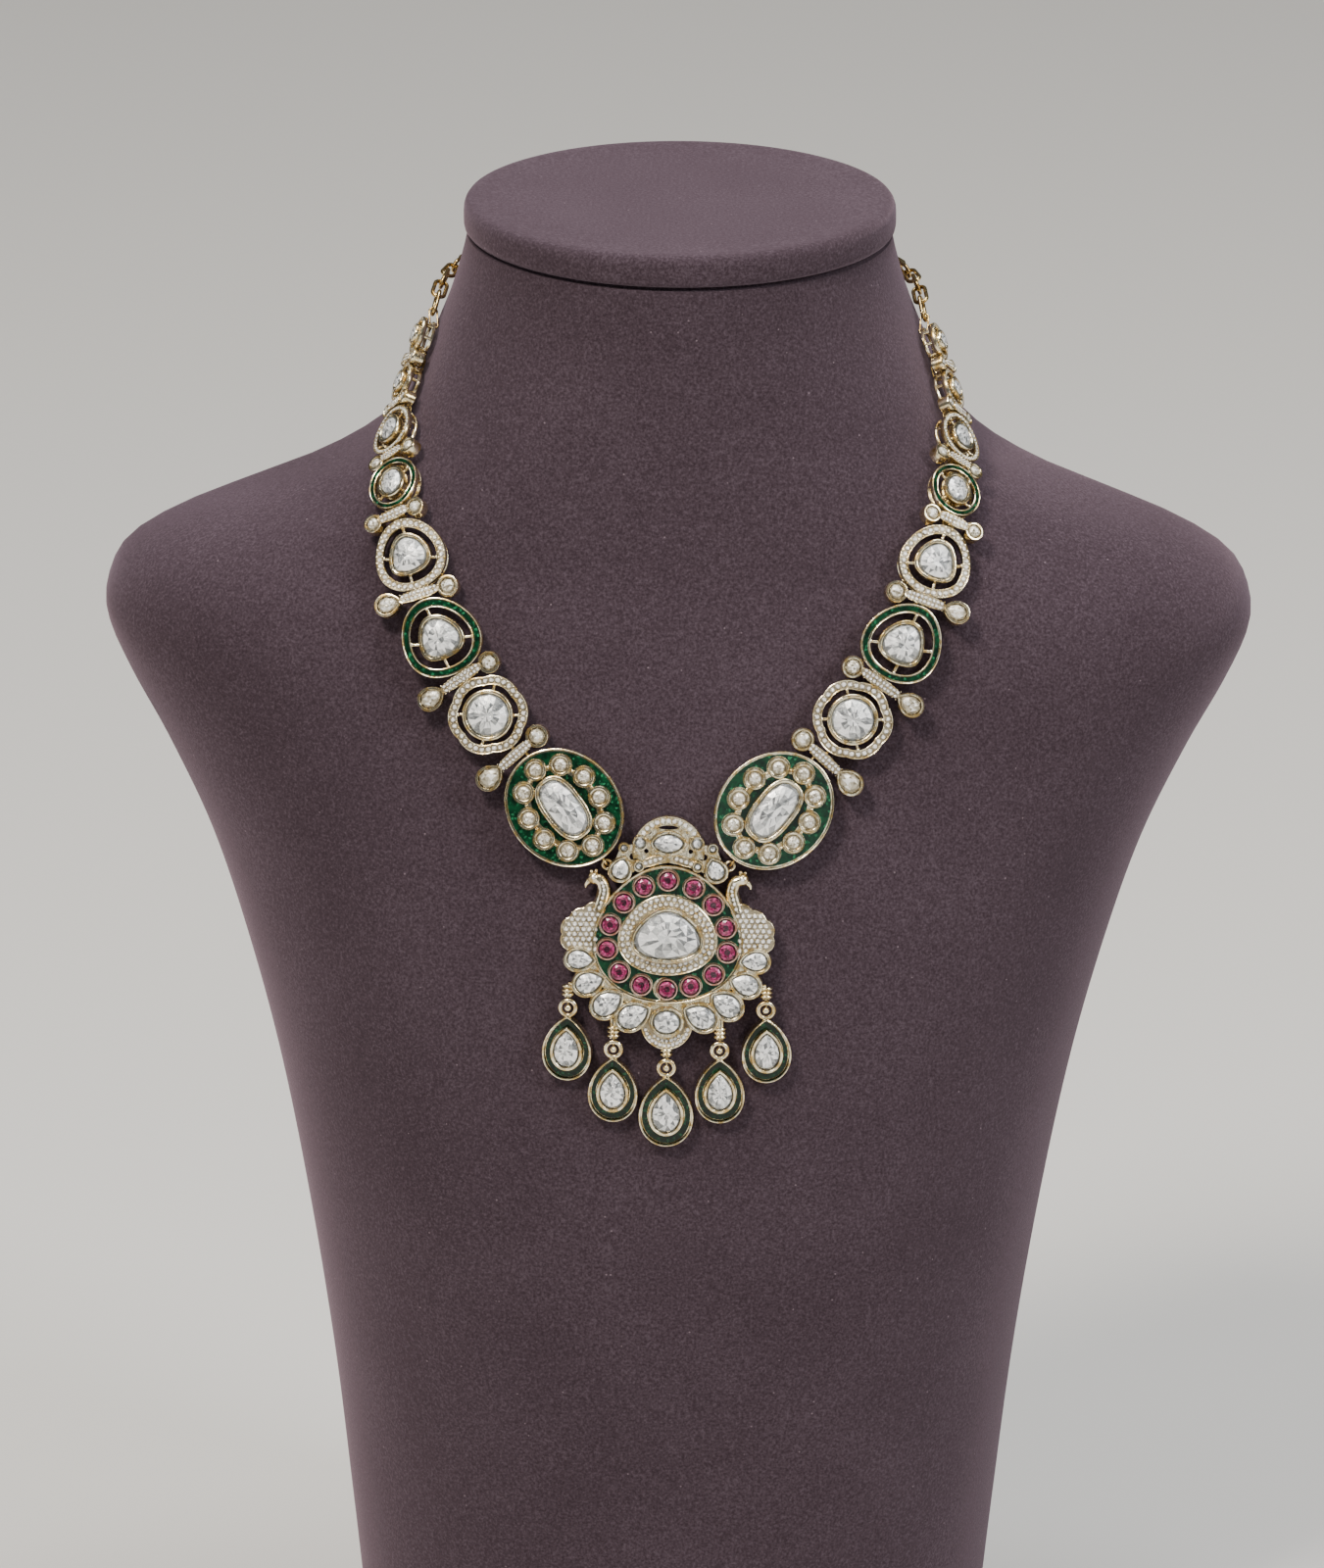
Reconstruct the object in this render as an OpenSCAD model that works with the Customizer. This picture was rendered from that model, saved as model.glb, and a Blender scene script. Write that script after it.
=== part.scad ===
// Kundan necklace worn on a plain neck bust.
// Origin: middle of the bust's underside. +Z is up and the chest faces -Y.
// The strand is described for the +X side and mirrored for the -X side.

/* [Bust] */
// Height of the bust
bust_h = 310; // [290:1:335]
// Width across the shoulders
shoulder_w = 226; // [210:1:245]
// Diameter of the round top
neck_w = 82; // [77:0.5:88]
// Depth of the chest in front of the neck's centre
chest_d = 74.5; // [68:0.5:82]
// Depth of the back behind the neck's centre
back_d = 38; // [35:0.5:44]
// How far the neck's centre stands behind the middle of the base
neck_set = 8; // [4:0.5:12]
// Thickness of the padded rim round the top
rim_h = 6.5; // [5:0.5:8]
// How far the rim stands out past the neck
rim_out = 0.8; // [0.4:0.1:1.4]

/* [Oval plate] */
// Width of the enamelled plate beside the pendant
plate_w = 21.6; // [19.6:0.2:23.4]
// Length of the enamelled plate
plate_l = 24.8; // [24:0.2:27]
// Width of the plate's oblong setting
plate_stone_w = 8; // [7:0.1:8.8]
// Length of the plate's oblong setting
plate_stone_l = 13.6; // [12.4:0.1:14]
// Diameter of the round settings on the plate
plate_round_d = 4.4; // [4:0.05:4.6]

/* [Large links] */
// Width of the six-lobed link
flower_w = 16; // [14.4:0.1:17.6]
// Length of the six-lobed link
flower_l = 15.6; // [14:0.1:17.2]
// Diameter of the six-lobed link's round setting
flower_stone_d = 10; // [9:0.1:10.6]
// Width of the enamelled trillion link
green_w = 16.2; // [14.6:0.1:17.8]
// Length of the enamelled trillion link
green_l = 15.6; // [14:0.1:17.2]
// Width of the enamelled trillion link's setting
green_stone_w = 9.4; // [8.4:0.1:10]
// Width of the stone-set trillion link
trillion_w = 14.6; // [13.1:0.1:16]
// Length of the stone-set trillion link
trillion_l = 14.4; // [13:0.1:15.8]
// Width of the stone-set trillion link's setting
trillion_stone_w = 8.6; // [7.8:0.1:9]

/* [Small links] */
// Width of the small enamelled link
oval_w = 10.8; // [9.8:0.1:11.8]
// Length of the small enamelled link
oval_l = 11.4; // [10.3:0.1:12.5]
// Width of the small enamelled link's setting
oval_stone_w = 6; // [5.4:0.1:6.4]
// Width of the pear link
pear_w = 10.4; // [9.4:0.1:11.4]
// Length of the pear link
pear_l = 11.4; // [10.3:0.1:12.5]
// Width of the pear link's setting
pear_stone_w = 5.8; // [5.2:0.1:6.2]
// Length of the first neck link
neck_link_l = 8.4; // [7.6:0.1:9.2]
// Length of the last neck link
end_link_l = 7.6; // [7:0.1:8.4]
// Width of both neck links' settings
neck_stone_w = 4.2; // [3.8:0.1:4.4]

/* [Link build] */
// Gap between two links, which a spacer fills
link_gap = 1.9; // [1.8:0.05:2.4]
// Width of the spacer's bar
bar_w = 1.6; // [1.4:0.05:1.7]
// Width of a link's stone-set or enamelled band
band_w = 1.9; // [1.7:0.05:2.1]
// Thickness of a link's band
band_t = 1; // [0.8:0.05:1.2]
// Height of the band above the link's seat
band_z = 2.5; // [2.4:0.05:2.9]
// Width of the gallery rail under the band
rail_w = 0.7; // [0.6:0.05:0.75]
// Wall of a setting
wall = 0.55; // [0.45:0.05:0.65]
// Height of a main setting above the band's underside
setting_h = 2; // [1.7:0.05:2.4]
// Wire of the joining rings
ring_wire = 0.42; // [0.36:0.02:0.46]

/* [Pendant] */
// Height of the pendant's centre above the table
pendant_z = 181; // [176:0.5:186]
// Width of the enamelled disc
disc_w = 29.4; // [28:0.2:31]
// Height of the enamelled disc
disc_l = 27; // [26:0.2:28.5]
// Diameter of the ruby settings
ruby_d = 4.3; // [4:0.05:4.5]
// Number of rubies round the disc
ruby_n = 14; // [13:1:14]
// Width of the stone-set halo
halo_w = 19.2; // [18.6:0.1:19.8]
// Height of the stone-set halo
halo_l = 15.8; // [15.2:0.1:16.4]
// Width of the centre setting
centre_w = 14.5; // [13.4:0.1:15]
// Height of the centre setting
centre_l = 11; // [10.2:0.1:11.6]
// Width of the crown's arch
crown_w = 14; // [13.2:0.2:14.8]

/* [Drops] */
// Width of the middle drop
drop_w = 10.7; // [9.8:0.1:11.2]
// Length of the middle drop's body
drop_l = 14.4; // [13:0.1:15.8]
// Size of the other drops against the middle one
drop_share = 0.91; // [0.85:0.01:0.97]
// Outer diameter of a drop's loop
drop_loop_d = 3.9; // [3.7:0.05:4.2]

/* [Neck chain] */
// Wire of the neck chain
chain_wire = 0.8; // [0.7:0.05:0.9]
// Room between one chain link's middle and the next
chain_pitch = 4.3; // [4:0.1:4.8]
// Inner width of a chain link
chain_in_w = 1.6; // [1.4:0.05:1.8]
// Length of the clasp's barrel
clasp_l = 9; // [8:0.5:11]
// Diameter of the clasp's barrel
clasp_d = 3.4; // [3:0.1:3.8]

/* [Hidden] */
// Room between pieces that touch on the real jewel
clear = 0.1;
stone_gap = 0.15;
// Room between the jewel's lowest metal and the velvet
seat_gap = 0.3;
// Heights in a link, counted from its seat
rail_z = 0.7;
rail_t = 0.6;
rail_in = 0.3;
joint_z = rail_z + rail_t / 2;
joint_x = 0.7;
ring_in_r = 0.6;
ring_r = ring_in_r + ring_wire / 2;
post_d = 0.7;
floor_t = 0.5;
enamel_t = 0.3;
crown_h = 0.6;
girdle_share = 0.9;
table_share = 0.62;
setting_top = band_z - 0.2 + setting_h;
// Sides of a cut stone: large, middle and small ones
big_n = 16;
mid_n = 12;
small_n = 8;
// Points on a link's outline, and on the outline of a small setting
outline_n = 48;
plain_n = 24;

// Sections of the bust from the base up. Height is a share of bust_h. Width goes
// from the neck's half width at 0 to the shoulder's at 1, and front in the same way
// from the neck's radius to chest_d. The back adds shares of the neck's radius and of
// back_d. Power is 2 for an ellipse and more for a squarer section.
height = 0;
width = 1;
front = 2;
back_neck = 3;
back_body = 4;
power = 5;
SECTIONS = [
    [0.000, 0.27, 0.69, 0.00, 0.90, 2.6],
    [0.050, 0.29, 0.75, 0.00, 0.92, 2.6],
    [0.140, 0.33, 0.85, 0.00, 0.95, 2.6],
    [0.240, 0.38, 0.94, 0.00, 0.97, 2.5],
    [0.345, 0.45, 1.00, 0.00, 0.99, 2.4],
    [0.440, 0.53, 0.985, 0.00, 1.00, 2.3],
    [0.520, 0.62, 0.895, 0.00, 1.00, 2.25],
    [0.590, 0.72, 0.76, 0.00, 0.97, 2.2],
    [0.650, 0.84, 0.60, 0.00, 0.93, 2.2],
    [0.695, 0.945, 0.465, 0.00, 0.90, 2.2],
    [0.727, 1.00, 0.375, 0.04, 0.83, 2.2],
    [0.750, 0.99, 0.31, 0.08, 0.74, 2.2],
    [0.770, 0.94, 0.26, 0.14, 0.62, 2.15],
    [0.788, 0.82, 0.21, 0.20, 0.53, 2.1],
    [0.804, 0.65, 0.17, 0.28, 0.43, 2.2],
    [0.820, 0.46, 0.14, 0.38, 0.33, 2.4],
    [0.838, 0.305, 0.105, 0.50, 0.24, 2.6],
    [0.858, 0.205, 0.08, 0.63, 0.15, 2.6],
    [0.882, 0.15, 0.055, 0.80, 0.07, 2.4],
    [0.910, 0.10, 0.03, 0.95, 0.00, 2.2],
    [0.940, 0.05, 0.01, 0.98, 0.00, 2.05],
    [0.975, 0.01, 0.00, 0.985, 0.00, 2.0],
    [1.000, 0.00, 0.00, 0.985, 0.00, 2.0]
];

// Smooth curve through a table's rows, at row i plus a part w of the next step
function slope(T, i, c) =
    let(lo = max(0, i - 1), hi = min(len(T) - 1, i + 1))
    (T[hi][c] - T[lo][c]) / (T[hi][0] - T[lo][0]);
function blend(T, i, w, c) =
    let(step = T[i + 1][0] - T[i][0], w2 = w * w, w3 = w2 * w)
    (2 * w3 - 3 * w2 + 1) * T[i][c] + (w3 - 2 * w2 + w) * slope(T, i, c) * step
    + (3 * w2 - 2 * w3) * T[i + 1][c] + (w3 - w2) * slope(T, i + 1, c) * step;
function row_of(h) = max([for (k = [0:len(SECTIONS) - 2]) if (SECTIONS[k][0] <= h) k]);
// Half width, reach to the front, reach to the back and power of the section at h
function section(h) =
    let(i = row_of(max(h, 0)),
        w = (h - SECTIONS[i][0]) / (SECTIONS[i + 1][0] - SECTIONS[i][0]),
        s = [for (c = [width, front, back_neck, back_body, power]) blend(SECTIONS, i, w, c)])
    [neck_w / 2 + s[0] * (shoulder_w - neck_w) / 2, neck_w / 2 + s[1] * (chest_d - neck_w / 2),
     s[2] * neck_w / 2 + s[3] * back_d, s[4]];
function ring_point(s, t, z) =
    let(x = sin(t), y = cos(t))
    [s[0] * sign(x) * pow(abs(x), 2 / s[3]),
     neck_set - (y > 0 ? s[1] : -s[2]) * pow(abs(y), 2 / s[3]), z];
// Point and outward normal of the velvet at bearing t from the front and height share h
function skin(t, h) = ring_point(section(h), t, h * bust_h);
function unit(v) = v / norm(v);
function skin_normal(t, h) =
    unit(cross(skin(t + 0.5, h) - skin(t - 0.5, h), skin(t, h + 0.002) - skin(t, h - 0.002)));
// Bearing of the point x to the side of the middle line
function bearing(x, h) = let(s = section(h)) asin(pow(min(1, abs(x) / s[0]), s[3] / 2)) * sign(x);
function outside(q) =
    let(s = section(q[2] / bust_h), y = q[1] - neck_set)
    pow(abs(q[0]) / s[0], s[3]) + pow(abs(y) / (y < 0 ? s[1] : s[2]), s[3]) > 1;
// How far q must move along n to come out of the velvet, found by halving
function rise(q, n, lo = -2, hi = 4, k = 9) =
    k == 0 ? hi :
    let(mid = (lo + hi) / 2)
    outside(q + n * mid) ? rise(q, n, lo, mid, k - 1) : rise(q, n, mid, hi, k - 1);
function lift(p, x, y, n, rx, ry) =
    seat_gap + max(0, max([for (a = [0:45:315]) rise(p + x * rx * cos(a) + y * ry * sin(a), n)]));
// A frame is [origin, x, y, z]: z out of the velvet, y along the strand
function frame_at(t, h, along, rx, ry) =
    let(p = skin(t, h), n = skin_normal(t, h), y = unit(along - n * (along * n)), x = cross(y, n))
    [p + n * lift(p, x, y, n, rx, ry), x, y, n];
function in_frame(F, q) = F[0] + F[1] * q[0] + F[2] * q[1] + F[3] * q[2];
module at(F) {
    multmatrix([for (r = [0:2]) [F[1][r], F[2][r], F[3][r], F[0][r]]]) children();
}
module mirrored(left) {
    mirror([left ? 1 : 0, 0, 0]) children();
}

// Outlines, each drawn inside a box w wide and l long with its tip towards +Y
pick_bulge = 0.16;
trine_bulge = 0.3;
pear_tip = 0.35;
pear_belly = 0.1;
pear_max = 1.047;
function outline_point(kind, w, l, a) =
    let(c = cos(a), s = sin(a))
    kind == "oval" ? [w / 2 * c, l / 2 * s] :
    kind == "flower" ? [w / 2 * c, l / 2 * s] * (0.94 + 0.06 * pow(abs(sin(3 * a)), 0.8)) :
    kind == "pick" ? [w / 2 * c * (1 - pick_bulge * s) / (1 + pick_bulge * pick_bulge / 2), l / 2 * s] :
    kind == "trine" ? [w / 2 * c * (1 - trine_bulge * s) / (1 + trine_bulge * trine_bulge / 2),
                       l / 2 * s] :
    kind == "oblong" ? [w / 2 * sign(c) * pow(abs(c), 0.76), l / 2 * sign(s) * pow(abs(s), 0.76)] :
    kind == "navette" ? [w / 2 * c, l / 2 * s * pow(abs(s), 0.3)] :
    [w / 2 * c * pow(1 - s, pear_tip) / pear_max, l / 2 * (s + pear_belly * c * c)];
function outline(kind, w, l, n = outline_n, turn = 0) =
    [for (k = [0:n - 1]) outline_point(kind, w, l, (k + turn) * 360 / n)];
module plate_of(kind, w, l, t, n = outline_n) {
    linear_extrude(height = t) polygon(outline(kind, w, l, n));
}
module band_of(kind, w, l, band, t, n = outline_n) {
    linear_extrude(height = t) difference() {
        polygon(outline(kind, w, l, n));
        polygon(outline(kind, w - 2 * band, l - 2 * band, n));
    }
}
// A closed setting stands from z0 to z1: its body, and the pocket cut down to its floor
module setting(kind, w, l, z0, z1, n = outline_n) {
    translate([0, 0, z0]) plate_of(kind, w, l, z1 - z0, n);
}
module pocket(kind, w, l, z0, z1, n = outline_n) {
    translate([0, 0, z0 + floor_t]) plate_of(kind, w - 2 * wall, l - 2 * wall, z1 - z0, n);
}
module cup(kind, w, l, z0, z1, n = outline_n) {
    difference() {
        setting(kind, w, l, z0, z1, n);
        pocket(kind, w, l, z0, z1, n);
    }
}
module round_setting(d, z0, z1) {
    translate([0, 0, z0]) cylinder(d = d, h = z1 - z0, $fn = 32);
}
module round_pocket(d, z0, z1) {
    translate([0, 0, z0 + floor_t]) cylinder(d = d - 2 * wall, h = z1 - z0, $fn = 32);
}
// A flat-backed cut stone that fits the cup above: girdle, crown facets and table
module gem(kind, w, l, z0, z1, n = mid_n) {
    gw = w - 2 * wall - 2 * stone_gap;
    gl = l - 2 * wall - 2 * stone_gap;
    base = z0 + floor_t + clear;
    edge = base + (z1 - base) * girdle_share;
    low = [for (p = outline(kind, gw, gl, n)) [p[0], p[1], base]];
    rim = [for (p = outline(kind, gw, gl, n)) [p[0], p[1], edge]];
    flat = [for (p = outline(kind, gw, gl, n, 0.5)) [p[0] * table_share, p[1] * table_share,
                                                      z1 + crown_h * min(w, l) / 8]];
    polyhedron(points = concat(low, rim, flat), faces = concat(
        [[for (k = [0:n - 1]) k]],
        [for (k = [0:n - 1]) [k, n + k, n + (k + 1) % n, (k + 1) % n]],
        [for (k = [0:n - 1]) [n + k, 2 * n + k, n + (k + 1) % n]],
        [for (k = [0:n - 1]) [n + (k + 1) % n, 2 * n + k, 2 * n + (k + 1) % n]],
        [[for (k = [n - 1:-1:0]) 2 * n + k]]));
}
// A straight bar between two points of one level
module strut(p, q, w, t) {
    v = unit(q - p);
    side = [-v[1], v[0]] * w / 2;
    linear_extrude(height = t) polygon([p - side, q - side, q + side, p + side]);
}

// Links from the pendant up. Turn swings the link, and its setting with it, away from
// the strand's line. Share is the setting's length against its width.
kind_of = 0;
link_w = 1;
link_l = 2;
turn_of = 3;
stone_kind = 4;
stone_w = 5;
stone_l = 6;
band_of_link = 7;
finish = 8;
inner_turn = 9;
LINKS = [
    ["oval", plate_w, plate_l, -9, "oblong", plate_stone_w, plate_stone_l, wall, "plate", 10],
    ["flower", flower_w, flower_l, 0, "oval", flower_stone_d, flower_stone_d, band_w, "stones", 0],
    ["pick", green_w, green_l, -118, "trine", green_stone_w, green_stone_w * 0.98, band_w, "enamel", 0],
    ["pick", trillion_w, trillion_l, -118, "trine", trillion_stone_w, trillion_stone_w * 1.02,
     band_w * 0.95, "stones", 0],
    ["oval", oval_w, oval_l, 0, "oval", oval_stone_w, oval_stone_w * 1.15, band_w * 0.7, "enamel", 0],
    ["pick", pear_w, pear_l, 0, "pear", pear_stone_w, pear_stone_w * 1.25, band_w * 0.65, "stones", 0],
    ["oval", neck_link_l * 0.95, neck_link_l, 0, "oval", neck_stone_w, neck_stone_w * 1.1,
     band_w * 0.5, "stones", 0],
    ["oval", end_link_l * 0.92, end_link_l, 0, "oval", neck_stone_w, neck_stone_w, band_w * 0.5,
     "stones", 0]
];
link_n = len(LINKS);
SIDE_NODES = ["plate", "flower_link", "green_link", "trillion_link", "oval_link", "pear_link",
              "neck_link", "end_link"];

// Spacers between the links: where the inner round and the outer setting stand across
// the strand, their sizes, the kind of the outer one and the bar's turn
inner_x = 0;
outer_x = 1;
inner_d = 2;
outer_w = 3;
outer_kind = 4;
bar_turn = 5;
more_gap = 6;
inner_y = 7;
SPACERS = [
    [-4.7, 7.5, 4.6, 5.0, "pear", -1.5, 1.2, 0],
    [-6.0, 7.3, 4.4, 4.8, "pear", -3, 0.2, -0.5],
    [-5.4, 6.9, 4.4, 4.6, "pear", -4, 0, -0.3],
    [-4.4, 4.8, 3.8, 3.8, "oval", -6, 0.1, -0.35],
    [-4.0, 3.9, 3.6, 3.6, "oval", -6, 0.15, -0.3],
    [-3.5, 3.2, 3.0, 3.0, "oval", 0, 0.2, 0.2],
    [-3.2, 3.0, 2.8, 2.8, "oval", 0, 0.25, 0]
];

// Pendant, in its own plane: x to the side, y up, z out of the chest
pend_z = 0.6;
pend_t = 1.3;
pend_top = pend_z + pend_t;
rim_top = pend_top + 0.9;
small_top = pend_top + 1.2;
centre_top = pend_top + 2.6;
eye_r = 0.85;
eye_wire = 0.6;
shoulder_at = [9.1, 12.5];
eye_at = [shoulder_at[0] + 2.8, shoulder_at[1] + 0.9];
plate_gap = 0.8;
pendant_h = pendant_z / bust_h;
PF = frame_at(0, pendant_h, [0, 0, 1], disc_w / 2, disc_l / 2);
eye_world = in_frame(PF, [eye_at[0], eye_at[1], joint_z]);

// Route of the strand on the velvet as [bearing, height share]. It starts at the
// pendant's eye, and the other points are chosen along the photographed line.
eye_h = eye_world[2] / bust_h;
ROUTE = concat([[bearing(eye_world[0], eye_h), eye_h]],
    [[16.2, 0.7125], [21.6, 0.757], [32, 0.801], [51, 0.8355], [71.5, 0.8645], [80.5, 0.8935],
     [84, 0.921], [95, 0.935], [122, 0.939], [150, 0.94], [180, 0.94]]);
route_n = len(ROUTE) - 1;
route_k = 132;
function route_part(u, c) =
    let(i = min(route_n - 1, floor(u)), w = u - i,
        a = ROUTE[max(0, i - 1)][c], b = ROUTE[i][c], d = ROUTE[i + 1][c],
        e = ROUTE[min(route_n, i + 2)][c])
    b + w * (d - a) / 2 + w * w * (a - 2.5 * b + 2 * d - e / 2)
    + w * w * w * (1.5 * (b - d) + (e - a) / 2);
function route_at(u) = [route_part(u, 0), route_part(u, 1)];
function over_skin(q) = skin(q[0], q[1]) + skin_normal(q[0], q[1]) * 2;
TRAIL = [for (k = [0:route_k]) over_skin(route_at(k * route_n / route_k))];
LENGTHS = [for (k = 0, s = 0; k <= route_k;
                s = s + (k < route_k ? norm(TRAIL[k + 1] - TRAIL[k]) : 0), k = k + 1) s];
strand_half = LENGTHS[route_k];
// Bearing and height, and the point above the velvet, at a length s along the route
function place_at(s) =
    let(j = max([for (k = [0:route_k - 1]) if (LENGTHS[k] <= max(0, s)) k]),
        u = (j + (s - LENGTHS[j]) / (LENGTHS[j + 1] - LENGTHS[j])) * route_n / route_k)
    route_at(min(route_n, u));
function heading(s, reach = 3) =
    unit(over_skin(place_at(min(strand_half, s + reach))) - over_skin(place_at(s - reach)));
function room(i) = link_gap + SPACERS[i][more_gap];
function turn_point(p, t) = [p[0] * cos(t) - p[1] * sin(t), p[0] * sin(t) + p[1] * cos(t)];
// How far a turned link reaches along the strand, up (end 1) or down (end -1)
function reach(i, end) =
    let(L = LINKS[i])
    max([for (p = outline(L[kind_of], L[link_w], L[link_l])) end * turn_point(p, L[turn_of])[1]]);
// Lengths along the route of each link's middle and of each gap's middle
MIDDLES = [for (i = 0, s = plate_gap + LINKS[0][link_l] / 2; i < link_n;
                s = s + (i < link_n - 1 ? reach(i, 1) + room(i) + reach(i + 1, -1) : 0), i = i + 1) s];
GAPS = [for (i = [0:link_n - 2]) MIDDLES[i] + reach(i, 1) + room(i) / 2];
function strand_frame(s, rx, ry) =
    let(q = place_at(s)) frame_at(q[0], q[1], heading(s), rx, ry);
LF = [for (i = [0:link_n - 1])
    strand_frame(MIDDLES[i], LINKS[i][link_w] / 2 - rail_in, LINKS[i][link_l] / 2 - rail_in)];
// The point of link i's rail, on its upper (1) or lower (-1) half, nearest to x in frame F
RAILS = [for (i = [0:link_n - 1]) let(L = LINKS[i], in = 2 * rail_in + rail_w)
    [for (a = [0:0.75:359]) turn_point(outline_point(L[kind_of], L[link_w] - in, L[link_l] - in, a),
                                       L[turn_of])]];
function rail_hold(i, end, F, x) =
    let(P = [for (p = RAILS[i]) if (end * p[1] > 0) in_frame(LF[i], [p[0], p[1], joint_z])],
        off = [for (q = P) abs((q - F[0]) * F[1] - x)], least = min(off))
    [for (k = [0:len(P) - 1]) if (off[k] == least) P[k]][0];
// The point of link i's rail nearest to the point q
function rail_near(i, q) =
    let(P = [for (p = RAILS[i]) in_frame(LF[i], [p[0], p[1], joint_z])],
        off = [for (c = P) norm(c - q)], least = min(off))
    [for (k = [0:len(P) - 1]) if (off[k] == least) P[k]][0];
// A spacer stands midway between the two rails and level with them
function spacer_frame(i) =
    let(F = strand_frame(GAPS[i], SPACERS[i][outer_x], 1),
        a = rail_hold(i, 1, F, 0) - F[0], b = rail_hold(i + 1, -1, F, 0) - F[0],
        o = F[0] + F[2] * ((a + b) * F[2]) / 2 + F[3] * max(0, (a + b) * F[3] / 2 - joint_z),
        t = SPACERS[i][bar_turn])
    [o, F[1] * cos(t) + F[2] * sin(t), F[2] * cos(t) - F[1] * sin(t), F[3]];
SF = [for (i = [0:link_n - 2]) spacer_frame(i)];

module bust() {
    ring_n = 36;
    fine_from = 5;
    neck_top = 1 - rim_h / bust_h;
    body_h = concat([for (i = [0:len(SECTIONS) - 3], part = i < fine_from ? [0] : [0, 0.5])
        SECTIONS[i][0] + part * (SECTIONS[i + 1][0] - SECTIONS[i][0])], [neck_top]);
    // The padded rim: share of its height and how far it stands in from its widest line
    RIM = [[0, 0.5], [0.12, 0.1], [0.35, 0], [0.75, 0.05], [0.93, 0.5], [1, 1.6]];
    top = section(neck_top);
    body = [for (h = body_h, k = [0:ring_n - 1]) ring_point(section(h), k * 360 / ring_n, h * bust_h)];
    rim = [for (r = RIM, k = [0:ring_n - 1])
        ring_point([top[0] + rim_out - r[1], top[1] + rim_out - r[1], top[2] + rim_out - r[1], top[3]],
                   k * 360 / ring_n, bust_h - rim_h + r[0] * rim_h)];
    last = len(body_h) + len(RIM) - 1;
    color("#4B3F48") polyhedron(points = concat(body, rim), faces = concat(
        [[for (k = [0:ring_n - 1]) k]],
        [for (j = [0:last - 1], k = [0:ring_n - 1], half = [0, 1])
            let(a = j * ring_n + k, b = j * ring_n + (k + 1) % ring_n)
            half == 0 ? [a, a + ring_n, b + ring_n] : [a, b + ring_n, b]],
        [[for (k = [ring_n - 1:-1:0]) last * ring_n + k]]));
}

// Where the posts and spokes of an open link stand
POSTS = [0, 48, 132, 180, 228, 312];
SPOKES = [40, 140, 220, 320];
module link_gallery(L) {
    mid = 2 * rail_in + rail_w;
    translate([0, 0, rail_z])
        band_of(L[kind_of], L[link_w] - 2 * rail_in, L[link_l] - 2 * rail_in, rail_w, rail_t);
    for (a = POSTS) {
        p = outline_point(L[kind_of], L[link_w] - mid, L[link_l] - mid, a - L[turn_of]);
        translate([p[0], p[1], rail_z + rail_t / 2])
            cylinder(d = post_d, h = band_z + 0.3 - rail_z - rail_t / 2, $fn = 16);
    }
}
module link_spokes(L) {
    band = L[band_of_link];
    for (a = SPOKES)
        translate([0, 0, band_z + 0.1]) strut(
            outline_point(L[stone_kind], L[stone_w] - wall, L[stone_l] - wall, a),
            outline_point(L[kind_of], L[link_w] - 2 * band + 0.5, L[link_l] - 2 * band + 0.5, a),
            0.7, 0.5);
}
module open_link(L) {
    band = L[band_of_link];
    link_gallery(L);
    difference() {
        translate([0, 0, band_z]) band_of(L[kind_of], L[link_w], L[link_l], band, band_t);
        if (L[finish] == "enamel")
            translate([0, 0, band_z + band_t - enamel_t - clear])
                band_of(L[kind_of], L[link_w] - 2 * groove_in, L[link_l] - 2 * groove_in,
                        band - 2 * groove_in, band_t);
    }
    cup(L[stone_kind], L[stone_w], L[stone_l], band_z - 0.2, setting_top);
    link_spokes(L);
}
groove_in = 0.4;
module link_enamel(L) {
    in = groove_in + clear;
    translate([0, 0, band_z + band_t - enamel_t])
        band_of(L[kind_of], L[link_w] - 2 * in, L[link_l] - 2 * in, L[band_of_link] - 2 * in, enamel_t);
}

// Round settings of the oval plate stand on a smaller oval
plate_round_n = 10;
round_x = plate_stone_w / 2 + plate_round_d / 2 + 0.8;
round_y = plate_stone_l / 2 + plate_round_d / 2 + 0.15;
plate_floor = band_z + band_t - enamel_t - clear;
round_top = band_z + band_t + 0.5;
function plate_round(k) =
    let(a = k * 360 / plate_round_n, b = a + 4 * sin(2 * a)) [round_x * sin(b), round_y * cos(b)];
module plate_turn() {
    rotate([0, 0, LINKS[0][inner_turn]]) children();
}
module plate_frame(L) {
    link_gallery(L);
    difference() {
        union() {
            translate([0, 0, band_z]) plate_of("oval", plate_w, plate_l, plate_floor - band_z);
            plate_turn() {
                setting(L[stone_kind], L[stone_w], L[stone_l], band_z, setting_top + 0.2);
                for (k = [0:plate_round_n - 1])
                    translate(plate_round(k)) round_setting(plate_round_d, band_z, round_top);
            }
        }
        plate_turn() {
            pocket(L[stone_kind], L[stone_w], L[stone_l], band_z, setting_top + 0.2);
            for (k = [0:plate_round_n - 1])
                translate(plate_round(k)) round_pocket(plate_round_d, band_z, round_top);
        }
    }
    translate([0, 0, band_z]) band_of("oval", plate_w, plate_l, wall, band_t);
}
module plate_enamel(L) {
    in = wall + clear;
    difference() {
        translate([0, 0, plate_floor + clear]) plate_of("oval", plate_w - 2 * in, plate_l - 2 * in, enamel_t);
        plate_turn() translate([0, 0, band_z]) {
            plate_of("oval", 2 * round_x, 2 * round_y, setting_h);
            for (k = [0:plate_round_n - 1])
                translate(plate_round(k)) cylinder(d = plate_round_d + 2 * clear, h = setting_h, $fn = 32);
        }
    }
}

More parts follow.
